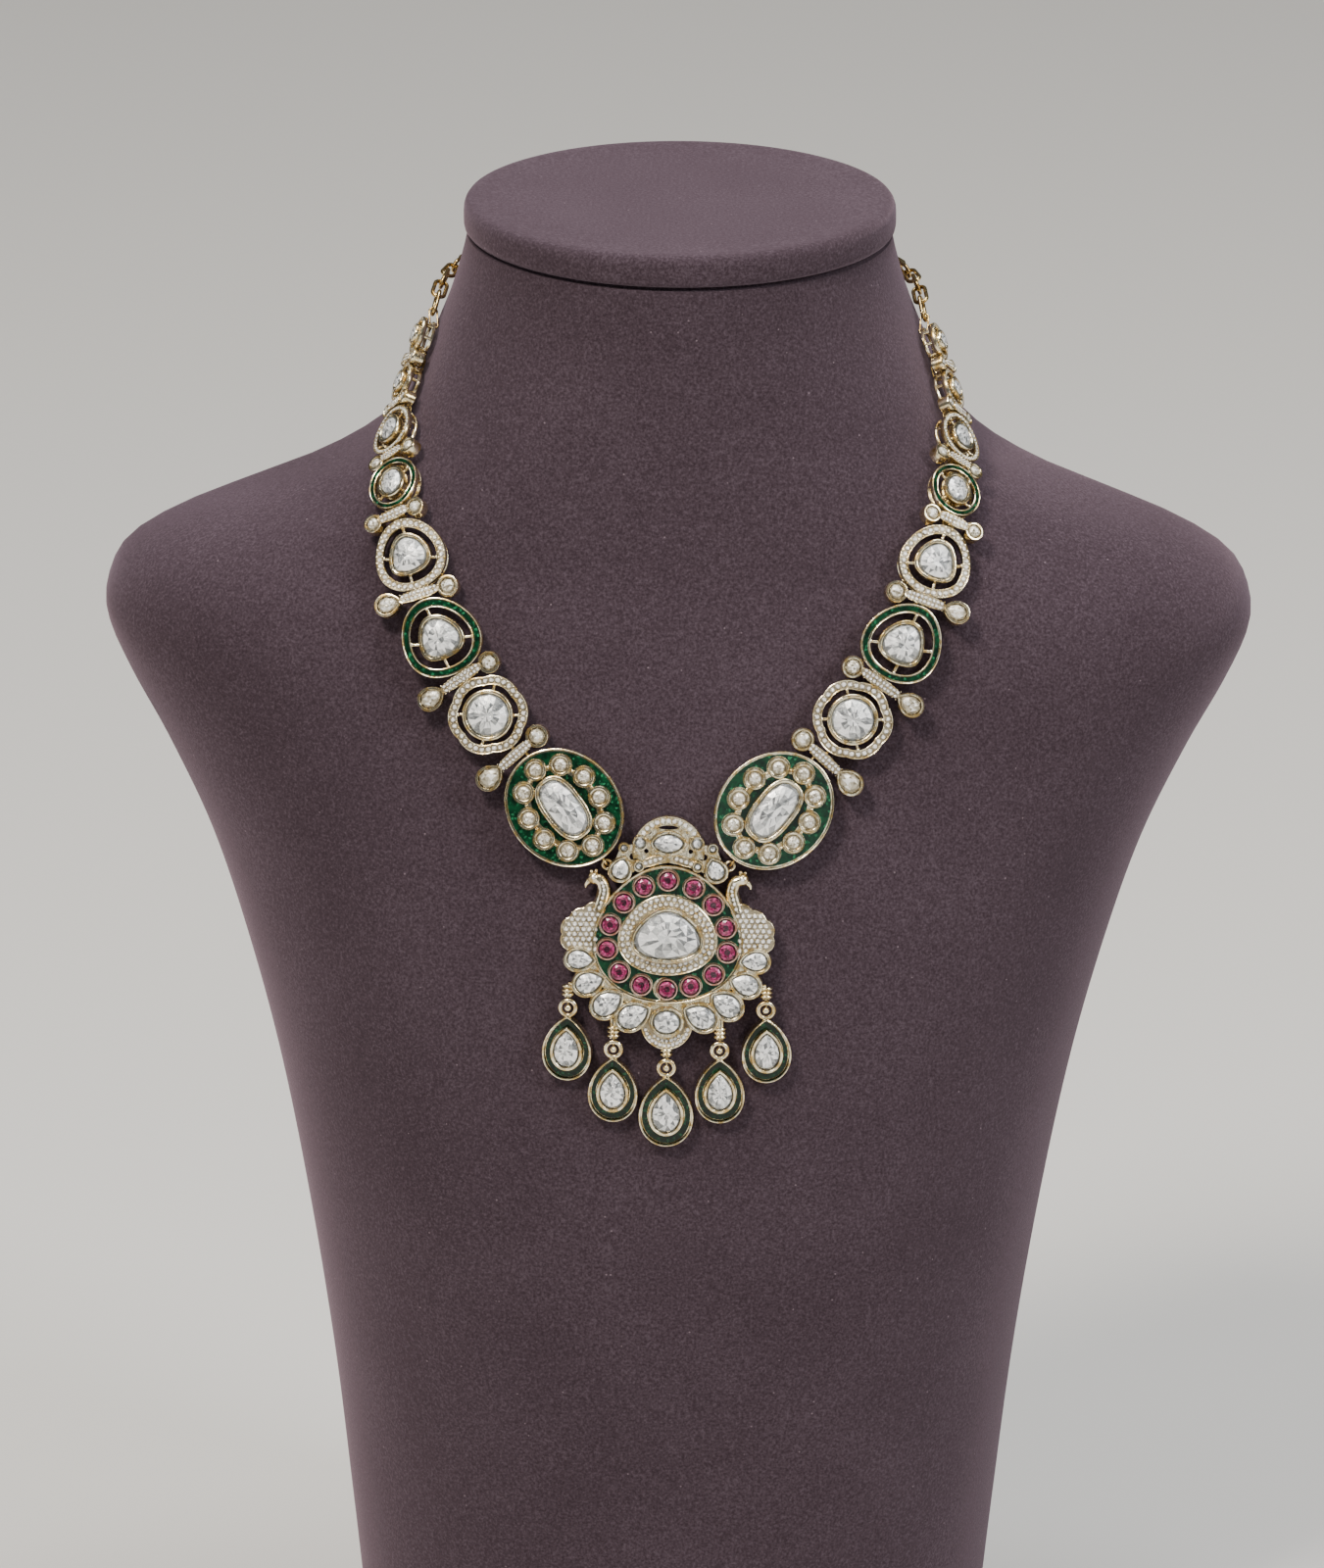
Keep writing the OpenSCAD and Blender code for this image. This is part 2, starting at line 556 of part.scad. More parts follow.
module strand_link(i, left) {
    L = LINKS[i];
    color("#D9C79A") mirrored(left) at(LF[i]) rotate([0, 0, L[turn_of]])
        if (i == 0) plate_frame(L); else open_link(L);
}
module strand_stone(i, left) {
    L = LINKS[i];
    z0 = i == 0 ? band_z : band_z - 0.2;
    z1 = i == 0 ? setting_top + 0.2 : setting_top;
    color("#DDE0E2") mirrored(left) at(LF[i]) rotate([0, 0, L[turn_of] + L[inner_turn]])
        gem(L[stone_kind], L[stone_w], L[stone_l], z0, z1, big_n);
}
module plate_stones(left) {
    color("#DDE0E2") mirrored(left) at(LF[0]) rotate([0, 0, LINKS[0][turn_of]]) plate_turn()
        for (k = [0:plate_round_n - 1])
            translate(plate_round(k)) gem("oval", plate_round_d, plate_round_d, band_z, round_top, small_n);
}
module strand_enamel(left) {
    color("#0D5A36") mirrored(left) {
        at(LF[0]) rotate([0, 0, LINKS[0][turn_of]]) plate_enamel(LINKS[0]);
        for (i = [1:link_n - 1]) if (LINKS[i][finish] == "enamel")
            at(LF[i]) rotate([0, 0, LINKS[i][turn_of]]) link_enamel(LINKS[i]);
    }
}

// A spacer: a bar on a rod that the joining rings hold, with a setting at each end
spacer_z = 1.9;
spacer_top = band_z + band_t + 0.2;
rod_d = 0.6;
rod_half = joint_x + 0.8;
function outer_l(S) = S[outer_w] * (S[outer_kind] == "pear" ? 1.12 : 1);
module outer_place(S) {
    translate([S[outer_x], 0, 0]) rotate([0, 0, S[outer_kind] == "pear" ? 90 : 0]) children();
}
module inner_place(S) {
    translate([S[inner_x], S[inner_y], 0]) children();
}
module spacer(S) {
    bar_end = S[outer_kind] == "pear" ? S[outer_x] - 1.6 : S[outer_x] - 1;
    difference() {
        union() {
            translate([S[inner_x] + 1, -bar_w / 2, band_z])
                cube([bar_end - S[inner_x] - 1, bar_w, 0.8]);
            inner_place(S) round_setting(S[inner_d], spacer_z - 0.6, spacer_top);
            outer_place(S) setting(S[outer_kind], S[outer_w], outer_l(S), spacer_z - 0.6, spacer_top, plain_n);
            for (x = [-rod_half, 0, rod_half]) translate([x, 0, joint_z])
                cylinder(d = rod_d, h = band_z + 0.2 - joint_z, $fn = 24);
        }
        inner_place(S) round_pocket(S[inner_d], spacer_z - 0.6, spacer_top);
        outer_place(S) pocket(S[outer_kind], S[outer_w], outer_l(S), spacer_z - 0.6, spacer_top, plain_n);
    }
    translate([-rod_half, 0, joint_z]) rotate([0, 90, 0]) cylinder(d = rod_d, h = 2 * rod_half, $fn = 24);
}
module spacer_gems(S) {
    inner_place(S) gem("oval", S[inner_d], S[inner_d], spacer_z - 0.6, spacer_top, small_n);
    outer_place(S) gem(S[outer_kind], S[outer_w], outer_l(S), spacer_z - 0.6, spacer_top, small_n);
}
module spacers(left) {
    color("#D9C79A") mirrored(left) for (i = [0:link_n - 2])
        at(SF[i]) spacer(SPACERS[i]);
}
module spacer_stones(left) {
    color("#DDE0E2") mirrored(left) for (i = [0:link_n - 2])
        at(SF[i]) spacer_gems(SPACERS[i]);
}

// An oval wire ring that holds the rods at a and b, standing on the plane of b - a and n
module wire_oval(half, r, wire, lap = 0) {
    for (e = [-1, 1]) translate([0, e * half, 0]) rotate([0, 0, e > 0 ? 0 : 180])
        rotate_extrude(angle = 180, $fn = 48) translate([r, 0]) circle(d = wire, $fn = 24);
    for (e = [-1, 1]) translate([e * r, 0, 0]) rotate([90, 0, 0])
        cylinder(d = wire - lap / 3, h = 2 * half + lap, center = true, $fn = 24);
}
function ring_frame(a, b, n) =
    let(y = unit(b - a), x = unit(n - y * (n * y))) [(a + b) / 2, x, y, cross(x, y)];
module joining_ring(a, b, n, play = 0.03) {
    half = round((norm(b - a) / 2 + play) * 1000) / 1000;
    at(ring_frame(a, b, n)) wire_oval(half, ring_r, ring_wire, 0.12);
}
function rod_hold(i, x) = in_frame(SF[i], [x, 0, joint_z]);
chain_start = MIDDLES[link_n - 1] + reach(link_n - 1, 1);
chain_over = seat_gap + chain_in_w / 2 + chain_wire + 0.1;
module joining_rings(left) {
    color("#CDB47E") mirrored(left) {
        joining_ring(rail_tip, in_frame(PF, [eye_at[0] + eye_r * eye_way[0],
                                             eye_at[1] + eye_r * eye_way[1], joint_z]),
                     unit(LF[0][3] + PF[3]), 0.15);
        for (i = [0:link_n - 2]) {
            joining_ring(rail_hold(i, 1, SF[i], -joint_x), rod_hold(i, -joint_x), SF[i][3]);
            joining_ring(rod_hold(i, joint_x), rail_hold(i + 1, -1, SF[i], joint_x), SF[i][3]);
        }
        joining_ring(rail_end, chain_link_end, chain_ring_way, 0.2);
    }
}
// The point of the oval plate's rail that the pendant's ring holds
rail_tip = rail_near(0, eye_world);
eye_way = let(v = rail_tip - eye_world) unit([v * PF[1], v * PF[2]]);

// Ruby settings follow the disc's outline, evenly spaced
ruby_in = ruby_d / 2 + 0.75;
ruby_k = 180;
RUBY_LINE = outline("pick", disc_w - 2 * ruby_in, disc_l - 2 * ruby_in, ruby_k, ruby_k / 4);
RUBY_LENGTHS = [for (k = 0, s = 0; k <= ruby_k;
                     s = s + norm(RUBY_LINE[(k + 1) % ruby_k] - RUBY_LINE[k % ruby_k]), k = k + 1) s];
function ruby_at(i) =
    let(s = i * RUBY_LENGTHS[ruby_k] / ruby_n,
        j = max([for (k = [0:ruby_k - 1]) if (RUBY_LENGTHS[k] <= s) k]))
    RUBY_LINE[j];

// Petal settings under the disc, for one side: place, width, length and turn of the tip
p_x = 0;
p_y = 1;
p_w = 2;
p_l = 3;
p_turn = 4;
PETALS = [
    [6.4, -16.1, 5.6, 6.2, 60],
    [11.4, -13.8, 5.5, 6.1, 50],
    [15.0, -9.7, 5.2, 5.6, 70],
    [16.8, -4.9, 4.9, 5.3, 95]
];
backing_out = 2.2;
foot_at = [0, -16.9];
foot_d = 6.2;
foot_drop = 0.6;
foot_band = 1.85;
// Crown settings: arch, navette, rounds and leaves
arch_at = [0, 16.7];
arch_band = 1.7;
navette_at = [0, 17.7];
navette_w = 7.2;
navette_l = 4.6;
ROUNDS = [[5.5, 18.0, 2.9], [8.5, 16.9, 2.2], [5.7, 13.3, 2.3]];
leaf_at = [2.6, 14.9];
// Outline of the thin plate behind the crown, and the openings cut through it
CROWN_BACK = [[10.4, 10.6], [10.9, 13.5], [9.0, 17.2], [6.4, 18.4], [0, 18.6]];
CROWN_HOLES = [[7.3, 15.2, 1.5], [3.2, 20.2, 1.1]];
// Peacock at each side: wing lobes, neck and head
WING = [[17.3, 2.1, 6.4], [17.6, -0.6, 5.9], [15.1, 4.1, 3.8]];
neck_pts = [[13.9, 4.8], [12.8, 7.0], [12.4, 8.8], [13.1, 10.3], [14.4, 10.8]];
head_at = [14.4, 10.8];
head_d = 2.5;
beak_at = [15.9, 9.0];

module both_sides() {
    children();
    mirror([1, 0, 0]) children();
}
module ball_stem(p, q, d) {
    v = q - p;
    translate([p[0], p[1], p[2]]) multmatrix([for (r = [0:2]) [for (c = [0:3])
        c == 3 ? 0 : stem_axes(v)[c][r]]]) cylinder(d = d, h = norm(v), $fn = 24);
}
function stem_axes(v) =
    let(z = unit(v), x = unit(abs(z[0]) < 0.9 ? cross([1, 0, 0], z) : cross([0, 1, 0], z)))
    [x, cross(z, x), z];
// Hangers under the pendant: pin place in the pendant's plane, from the middle out
PINS = [[0, -26.1], [10.3, -22.6], [19.2, -14.6]];
HANGS = [[0, -19.6], [10.3, -16.6], [17.3, -10.5]];
drop_wire = 0.9;
loop_r = (drop_loop_d - drop_wire) / 2;
pin_z = pend_z + pend_t / 2;
stem_d = 1.5;
ridge_d = 2.5;
module hanger(k) {
    pin = PINS[k];
    top = HANGS[k];
    hub = [pin[0], pin[1], pin_z];
    foot = [pin[0], pin[1] + loop_r + drop_wire / 2 + 0.2, pin_z];
    arm_z = -drop_wire / 2 - clear - 0.35;
    ball_stem([top[0], top[1], pin_z], foot + [0, 2.2, 0], stem_d);
    for (r = [0:2]) translate(foot + [0, 0.3 + r * 0.8, 0]) rotate([-90, 0, 0])
        cylinder(d = ridge_d, h = 0.55, $fn = 32);
    translate(foot) rotate([-90, 0, 0]) cylinder(d = stem_d, h = 2.4, $fn = 32);
    ball_stem(foot + [0, 0.5, arm_z], hub + [0, 0, arm_z], 0.5);
    ball_stem(hub + [0, 0, arm_z - 0.25], hub + [0, 0, 0.3], 0.5);
    translate(hub + [0, 0, 0.35]) sphere(d = 1.1, $fn = 24);
}
module crown() {
    translate([0, 0, pend_z]) {
        difference() {
            translate(arch_at) cylinder(d = crown_w, h = pend_t + 0.5, $fn = 64);
            translate(arch_at) translate([0, 0, -1]) cylinder(d = crown_w - 2 * arch_band, h = 4, $fn = 64);
            translate([-crown_w, arch_at[1] - crown_w, -1]) cube([2 * crown_w, crown_w, 4]);
        }
        linear_extrude(height = pend_t - 0.4) difference() {
            polygon(concat(CROWN_BACK, [for (k = [len(CROWN_BACK) - 1:-1:0])
                [-CROWN_BACK[k][0], CROWN_BACK[k][1]]]));
            for (h = CROWN_HOLES, e = [-1, 1]) translate([e * h[0], h[1]]) circle(d = h[2], $fn = 24);
            translate([0, 15.3]) square([5, 0.7], center = true);
        }
        both_sides() translate(leaf_at) rotate([0, 0, 62]) plate_of("navette", 4.2, 2.2, pend_t + 0.6, 20);
    }
}
// Every setting of the pendant's metal: place, turn, kind, width, length, foot and top
set_z = pend_top - floor_t;
function mirror_row(r) = [[-r[0][0], r[0][1]], -r[1], r[2], r[3], r[4], r[5], r[6], r[7]];
DISC_SET = concat(
    [[[0, 0], 0, "trine", centre_w, centre_l, set_z, centre_top, big_n]],
    [for (i = [0:ruby_n - 1]) [ruby_at(i), 0, "round", ruby_d, ruby_d, set_z, small_top, small_n]]);
PETAL_SIDE = [for (P = PETALS)
    [[P[p_x], P[p_y]], P[p_turn], "pear", P[p_w], P[p_l], pend_z, small_top, small_n]];
PETAL_SET = concat([[foot_at, 0, "round", foot_d, foot_d, pend_z, small_top + 0.4, mid_n]],
                   PETAL_SIDE, [for (r = PETAL_SIDE) mirror_row(r)]);
CROWN_SIDE = concat([[shoulder_at, 20, "pear", 4.6, 5.2, pend_z, small_top + 0.2, small_n]],
    [for (r = ROUNDS) [[r[0], r[1]], 0, "round", r[2], r[2], pend_z + 0.5, small_top - 0.1, small_n]]);
CROWN_SET = concat([[navette_at, 0, "navette", navette_w, navette_l, pend_z, small_top, mid_n]],
                   CROWN_SIDE, [for (r = CROWN_SIDE) mirror_row(r)]);
module place_row(r) {
    translate(r[0]) rotate([0, 0, r[1]]) children();
}
function points_of(r) = r[7] == small_n ? 4 * small_n : outline_n;
module settings_of(SET) {
    for (r = SET) place_row(r)
        if (r[2] == "round") round_setting(r[3], r[5], r[6]);
        else setting(r[2], r[3], r[4], r[5], r[6], points_of(r));
}
module pockets_of(SET) {
    for (r = SET) place_row(r)
        if (r[2] == "round") round_pocket(r[3], r[5], r[6]);
        else pocket(r[2], r[3], r[4], r[5], r[6], points_of(r));
}
module gems_of(SET) {
    for (r = SET) place_row(r) gem(r[2] == "round" ? "oval" : r[2], r[3], r[4], r[5], r[6], r[7]);
}
module peacock() {
    for (w = WING) translate([w[0], w[1], pend_z]) cylinder(d = w[2], h = pend_t + 0.3, $fn = 48);
    for (i = [0:len(neck_pts) - 2])
        ball_stem([neck_pts[i][0], neck_pts[i][1], pin_z], [neck_pts[i + 1][0], neck_pts[i + 1][1], pin_z],
                  2.3 - 0.12 * i);
    for (i = [0:len(neck_pts) - 2]) translate([neck_pts[i][0], neck_pts[i][1], pin_z])
        sphere(d = 2.4 - 0.12 * i, $fn = 24);
    translate([head_at[0], head_at[1], pin_z]) sphere(d = head_d, $fn = 32);
    ball_stem([head_at[0], head_at[1], pin_z], [beak_at[0], beak_at[1], pin_z], 0.8);
}
// Scalloped plate behind the petals, from the disc out
module petal_back() {
    translate([0, 0, pend_z]) difference() {
        plate_of("pick", disc_w + 2 * backing_out, disc_l + 2 * backing_out, pend_t - 0.5, 56);
        translate([-disc_w, -4, -1]) cube([2 * disc_w, disc_l, 4]);
    }
}
module pendant_frame() {
    color("#D9C79A") at(PF) {
        difference() {
            union() {
                translate([0, 0, pend_z]) plate_of("pick", disc_w, disc_l, pend_t, 56);
                translate([0, 0, pend_z]) plate_of("pick", halo_w, halo_l, small_top - pend_z, 48);
                translate([foot_at[0], foot_at[1] - foot_drop, pend_z]) difference() {
                    cylinder(d = foot_d + 2 * foot_band, h = pend_t, $fn = 64);
                    translate([-foot_d, 1.6, -1]) cube([2 * foot_d, foot_d, 4]);
                }
                petal_back();
                crown();
                both_sides() peacock();
                for (SET = [DISC_SET, PETAL_SET, CROWN_SET]) settings_of(SET);
            }
            for (SET = [DISC_SET, PETAL_SET, CROWN_SET]) pockets_of(SET);
        }
        translate([0, 0, pend_z]) band_of("pick", disc_w, disc_l, wall, rim_top - pend_z, 56);
        both_sides() {
            translate([eye_at[0], eye_at[1], joint_z]) rotate_extrude($fn = 48)
                translate([eye_r, 0]) circle(d = eye_wire, $fn = 24);
        }
        hanger(0);
        both_sides() for (k = [1, 2]) hanger(k);
    }
}
module pendant_enamel() {
    in = wall + clear;
    color("#0D5A36") at(PF) difference() {
        translate([0, 0, pend_top + clear]) plate_of("pick", disc_w - 2 * in, disc_l - 2 * in, enamel_t, 56);
        translate([0, 0, pend_z]) plate_of("pick", halo_w + 2 * clear, halo_l + 2 * clear, 4, 48);
        for (i = [0:ruby_n - 1]) translate(ruby_at(i)) translate([0, 0, pend_z])
            cylinder(d = ruby_d + 2 * clear, h = 4, $fn = 32);
    }
}
module pendant_centre_stone() {
    color("#DDE0E2") at(PF) gems_of([DISC_SET[0]]);
}
module pendant_rubies() {
    color("#B0246A") at(PF) gems_of([for (k = [1:ruby_n]) DISC_SET[k]]);
}
module pendant_petal_stones() {
    color("#DDE0E2") at(PF) gems_of(PETAL_SET);
}
module pendant_crown_stones() {
    color("#DDE0E2") at(PF) gems_of(CROWN_SET);
}

// Drops, counted from the middle one: index 1 and 2 are repeated on the other side
drop_t = 1.9;
drop_floor = 0.8;
drop_back = -1;
drop_front = drop_back + drop_t;
drop_stone_top = drop_front + 0.7;
drop_stone_w = 0.66;
function drop_size(k) = k == 0 ? 1 : drop_share;
function drop_pin(k) = in_frame(PF, [PINS[k][0], PINS[k][1], pin_z]);
// The drop hangs from its pin and leans its foot on the velvet
function drop_frame(k) =
    let(pin = drop_pin(k), reach = loop_r + drop_l * drop_size(k),
        h = (pin[2] - reach * 0.97) / bust_h, t = bearing(pin[0], h),
        rest = skin(t, h) + skin_normal(t, h) * (seat_gap - drop_back),
        y = unit(pin - rest), n = skin_normal(t, h), z = unit(n - y * (n * y)), x = cross(y, z))
    [pin, x, y, z];
function drop_body_y(k) = -loop_r - drop_l * drop_size(k) / 2;
module drop_place(k, left) {
    mirrored(left) at(drop_frame(k)) children();
}
module drop_body(k, left) {
    s = drop_size(k);
    color("#D9C79A") drop_place(k, left) {
        rotate_extrude($fn = 48) translate([loop_r, 0]) circle(d = drop_wire, $fn = 24);
        translate([0, drop_body_y(k), drop_back]) {
            plate_of("pear", drop_w * s, drop_l * s, drop_floor);
            band_of("pear", drop_w * s, drop_l * s, wall, drop_t);
            cup("pear", drop_w * s * drop_stone_w, drop_l * s * drop_stone_w, drop_floor - floor_t,
                drop_stone_top - drop_back);
        }
    }
}
module drop_stone(k, left) {
    s = drop_size(k) * drop_stone_w;
    color("#DDE0E2") drop_place(k, left) translate([0, drop_body_y(k), drop_back])
        gem("pear", drop_w * s, drop_l * s, drop_floor - floor_t, drop_stone_top - drop_back, mid_n);
}
module drop_green(k, left) {
    s = drop_size(k);
    in = wall + clear;
    color("#0B3D27") drop_place(k, left) translate([0, drop_body_y(k), drop_back + drop_floor + clear])
        difference() {
            plate_of("pear", drop_w * s - 2 * in, drop_l * s - 2 * in, 0.5);
            translate([0, 0, -1]) plate_of("pear", drop_w * s * drop_stone_w + 3 * clear,
                                           drop_l * s * drop_stone_w + 3 * clear, 4);
        }
}
module every_drop() {
    for (d = DROPS) {
        $k = d[0];
        $left = d[1];
        children();
    }
}
DROPS = [[0, false], [1, false], [2, false], [1, true], [2, true]];
module drop_stones() {
    every_drop() drop_stone($k, $left);
}
module drop_enamel() {
    every_drop() drop_green($k, $left);
}

// Neck chain: flat and upright links in turn, from the last link to the clasp
clasp_eye_r = 1.1;
clasp_eye_wire = 0.7;
clasp_half = clasp_l / 2 + clasp_eye_r + 0.3;
link_play = 0.15;
chain_from = chain_start + 1.75;
chain_to = strand_half - clasp_half;
chain_n = 2 * round((chain_to - chain_from) / chain_pitch / 2) - 1;
pitch = (chain_to - chain_from) / (chain_n + 0.12);
chain_in_l = pitch + link_play;
chain_half = (chain_in_l - chain_in_w) / 2;
chain_r = (chain_in_w + chain_wire) / 2;
function chain_frame(s) =
    let(q = place_at(s), n = skin_normal(q[0], q[1]), v = heading(s, pitch / 2),
        y = unit(v - n * (v * n)))
    [skin(q[0], q[1]) + n * chain_over, cross(y, n), y, n];
function chain_s(i) = chain_from + (i + 0.5) * pitch;
chain_link_end = in_frame(chain_frame(chain_s(0)), [0, -chain_half - chain_r, 0]);
// The last link's rail where the chain's ring holds it, and the way that this ring stands
rail_end = rail_near(link_n - 1, in_frame(chain_frame(chain_s(0)), [0, -chain_half - chain_r - 1.2, 0]));
chain_ring_way = unit(LF[link_n - 1][3]
                      + unit(cross(chain_frame(chain_s(0))[1], chain_link_end - rail_end)));
module chain(left) {
    color("#CDB47E") mirrored(left) for (i = [0:chain_n - 1])
        at(chain_frame(chain_s(i))) rotate([0, i % 2 == 0 ? 0 : 90, 0])
            wire_oval(chain_half, chain_r, chain_wire);
}
module clasp() {
    last = in_frame(chain_frame(chain_s(chain_n - 1)),
                    [0, chain_half + chain_r - (chain_wire + clasp_eye_wire) / 2 - clear + clasp_eye_r, 0]);
    color("#CDB47E") {
        translate([0, last[1], last[2]]) rotate([0, 90, 0])
            cylinder(d = clasp_d, h = 2 * (last[0] - clasp_eye_r), center = true, $fn = 48);
        both_sides() translate(last) rotate_extrude($fn = 48)
            translate([clasp_eye_r, 0]) circle(d = clasp_eye_wire, $fn = 24);
    }
}

LEFT_RIGHT = ["left", "right"];

bust();
for (i = [0:link_n - 1], side = LEFT_RIGHT) {
    strand_link(i, side == "left");
    strand_stone(i, side == "left");
}
plate_stones(true);  // plate_stones_left
plate_stones(false);  // plate_stones_right
strand_enamel(true);  // strand_enamel_left
strand_enamel(false);  // strand_enamel_right
spacers(true);  // spacers_left
spacers(false);  // spacers_right
spacer_stones(true);  // spacer_stones_left
spacer_stones(false);  // spacer_stones_right
joining_rings(true);  // joining_rings_left
joining_rings(false);  // joining_rings_right
chain(true);  // chain_left
chain(false);  // chain_right
clasp();
pendant_frame();
pendant_enamel();
pendant_centre_stone();
pendant_rubies();
pendant_petal_stones();
pendant_crown_stones();
drop_body(0, false);  // drop_middle
drop_body(1, true);  // drop_inner_left
drop_body(1, false);  // drop_inner_right
drop_body(2, true);  // drop_outer_left
drop_body(2, false);  // drop_outer_right
drop_stones();
drop_enamel();
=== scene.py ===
# %% [markdown]
# # A kundan necklace on a neck bust
# The real piece is a wedding necklace: pale gold settings closed round foil-backed
# stones, bands of tiny stones, green enamel, and a velvet bust to carry it.
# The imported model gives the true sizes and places. Everything below is built round it.

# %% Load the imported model
import math
import random

import bmesh
import bpy
from mathutils import Matrix, Vector


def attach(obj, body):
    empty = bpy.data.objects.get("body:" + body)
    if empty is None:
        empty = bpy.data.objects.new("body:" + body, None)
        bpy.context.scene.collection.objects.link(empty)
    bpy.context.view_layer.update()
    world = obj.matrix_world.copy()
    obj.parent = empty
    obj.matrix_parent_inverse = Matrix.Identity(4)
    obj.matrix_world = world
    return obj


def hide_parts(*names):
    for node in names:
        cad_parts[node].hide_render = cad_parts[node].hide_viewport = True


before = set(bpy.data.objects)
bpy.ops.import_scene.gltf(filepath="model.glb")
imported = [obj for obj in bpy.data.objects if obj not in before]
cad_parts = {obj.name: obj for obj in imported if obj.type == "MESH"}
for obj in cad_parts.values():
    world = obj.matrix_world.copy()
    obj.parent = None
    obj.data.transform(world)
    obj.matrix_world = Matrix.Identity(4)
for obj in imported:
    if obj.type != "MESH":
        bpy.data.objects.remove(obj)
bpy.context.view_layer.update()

print("packed pieces:", len(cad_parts))

# %% [markdown]
# ## Camera
# A jewel on a bust is photographed from far away with a long lens, a little from above,
# so that the bust doesn't loom. The camera stands 2.5 m off and looks down 19 degrees.
# The picture was taken from a step to one side, so the camera swings a degree and a half.

# %% Camera
IMAGE_W = 1351
SENSOR_W = 36
# The length of the lens in pixels of the picture
LENS_PX = 13157
FAR = 2.5
LOOK_DOWN = math.radians(19)
SWING = math.radians(-1.5)
ROLL = math.radians(0.25)
AIM = Vector((-0.0015, -0.0502, 0.2086))
right = Vector((math.cos(SWING), -math.sin(SWING), 0))
level = Vector((math.sin(SWING), math.cos(SWING), 0))
forward = level * math.cos(LOOK_DOWN) - Vector((0, 0, math.sin(LOOK_DOWN)))
above = right.cross(forward)
rolled_right = right * math.cos(ROLL) + above * math.sin(ROLL)
rolled_up = above * math.cos(ROLL) - right * math.sin(ROLL)
camera_data = bpy.data.cameras.new("long lens")
camera_data.sensor_fit = "HORIZONTAL"
camera_data.sensor_width = SENSOR_W
camera_data.lens = SENSOR_W * LENS_PX / IMAGE_W
camera_data.clip_end = 20
camera = bpy.data.objects.new("camera", camera_data)
facing = Matrix((rolled_right, rolled_up, -forward)).transposed().to_4x4()
camera.matrix_world = Matrix.Translation(AIM - forward * FAR) @ facing
bpy.context.scene.collection.objects.link(camera)
bpy.context.scene.camera = camera
print("lens in mm:", round(camera_data.lens, 1))

# %% [markdown]
# ## Sizes
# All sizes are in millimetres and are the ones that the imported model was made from.
# Heights in a link are counted from its seat, just off the velvet.

# %% Sizes of the bust
BUST_H = 310
SHOULDER_W = 226
NECK_W = 82
CHEST_D = 74.5
BACK_D = 38
NECK_SET = 8
RIM_H = 6.5
# Share of the height, share of the way from neck to shoulder width, share of the way from
# neck to chest depth, the neck's and the back's shares in its depth behind, and how square
# the section is
SECTIONS = [
    [0.000, 0.27, 0.69, 0.00, 0.90, 2.6],
    [0.050, 0.29, 0.75, 0.00, 0.92, 2.6],
    [0.140, 0.33, 0.85, 0.00, 0.95, 2.6],
    [0.240, 0.38, 0.94, 0.00, 0.97, 2.5],
    [0.345, 0.45, 1.00, 0.00, 0.99, 2.4],
    [0.440, 0.53, 0.985, 0.00, 1.00, 2.3],
    [0.520, 0.62, 0.895, 0.00, 1.00, 2.25],
    [0.590, 0.72, 0.76, 0.00, 0.97, 2.2],
    [0.650, 0.84, 0.60, 0.00, 0.93, 2.2],
    [0.695, 0.945, 0.465, 0.00, 0.90, 2.2],
    [0.727, 1.00, 0.375, 0.04, 0.83, 2.2],
    [0.750, 0.99, 0.31, 0.08, 0.74, 2.2],
    [0.770, 0.94, 0.26, 0.14, 0.62, 2.15],
    [0.788, 0.82, 0.21, 0.20, 0.53, 2.1],
    [0.804, 0.65, 0.17, 0.28, 0.43, 2.2],
    [0.820, 0.46, 0.14, 0.38, 0.33, 2.4],
    [0.838, 0.305, 0.105, 0.50, 0.24, 2.6],
    [0.858, 0.205, 0.08, 0.63, 0.15, 2.6],
    [0.882, 0.15, 0.055, 0.80, 0.07, 2.4],
    [0.910, 0.10, 0.03, 0.95, 0.00, 2.2],
    [0.940, 0.05, 0.01, 0.98, 0.00, 2.05],
    [0.975, 0.01, 0.00, 0.985, 0.00, 2.0],
    [1.000, 0.00, 0.00, 0.985, 0.00, 2.0],
]

# %% Sizes of the links
CLEAR = 0.1
SEAT_GAP = 0.3
LINK_GAP = 1.9
BAR_W = 1.6
BAND_W = 1.9
BAND_T = 1
BAND_Z = 2.5
RAIL_W = 0.7
RAIL_Z = 0.7
RAIL_T = 0.6
RAIL_IN = 0.3
JOINT_Z = RAIL_Z + RAIL_T / 2
JOINT_X = 0.7
POST_D = 0.7
SPOKE_D = 0.6
WALL = 0.55
FLOOR_T = 0.5
ENAMEL_T = 0.3
SETTING_TOP = BAND_Z - 0.2 + 2
PLATE_W, PLATE_L = 21.6, 24.8
PLATE_STONE_W, PLATE_STONE_L = 8, 13.6
PLATE_ROUND_D = 4.4
PLATE_ROUNDS = 10
PLATE_GAP = 0.8
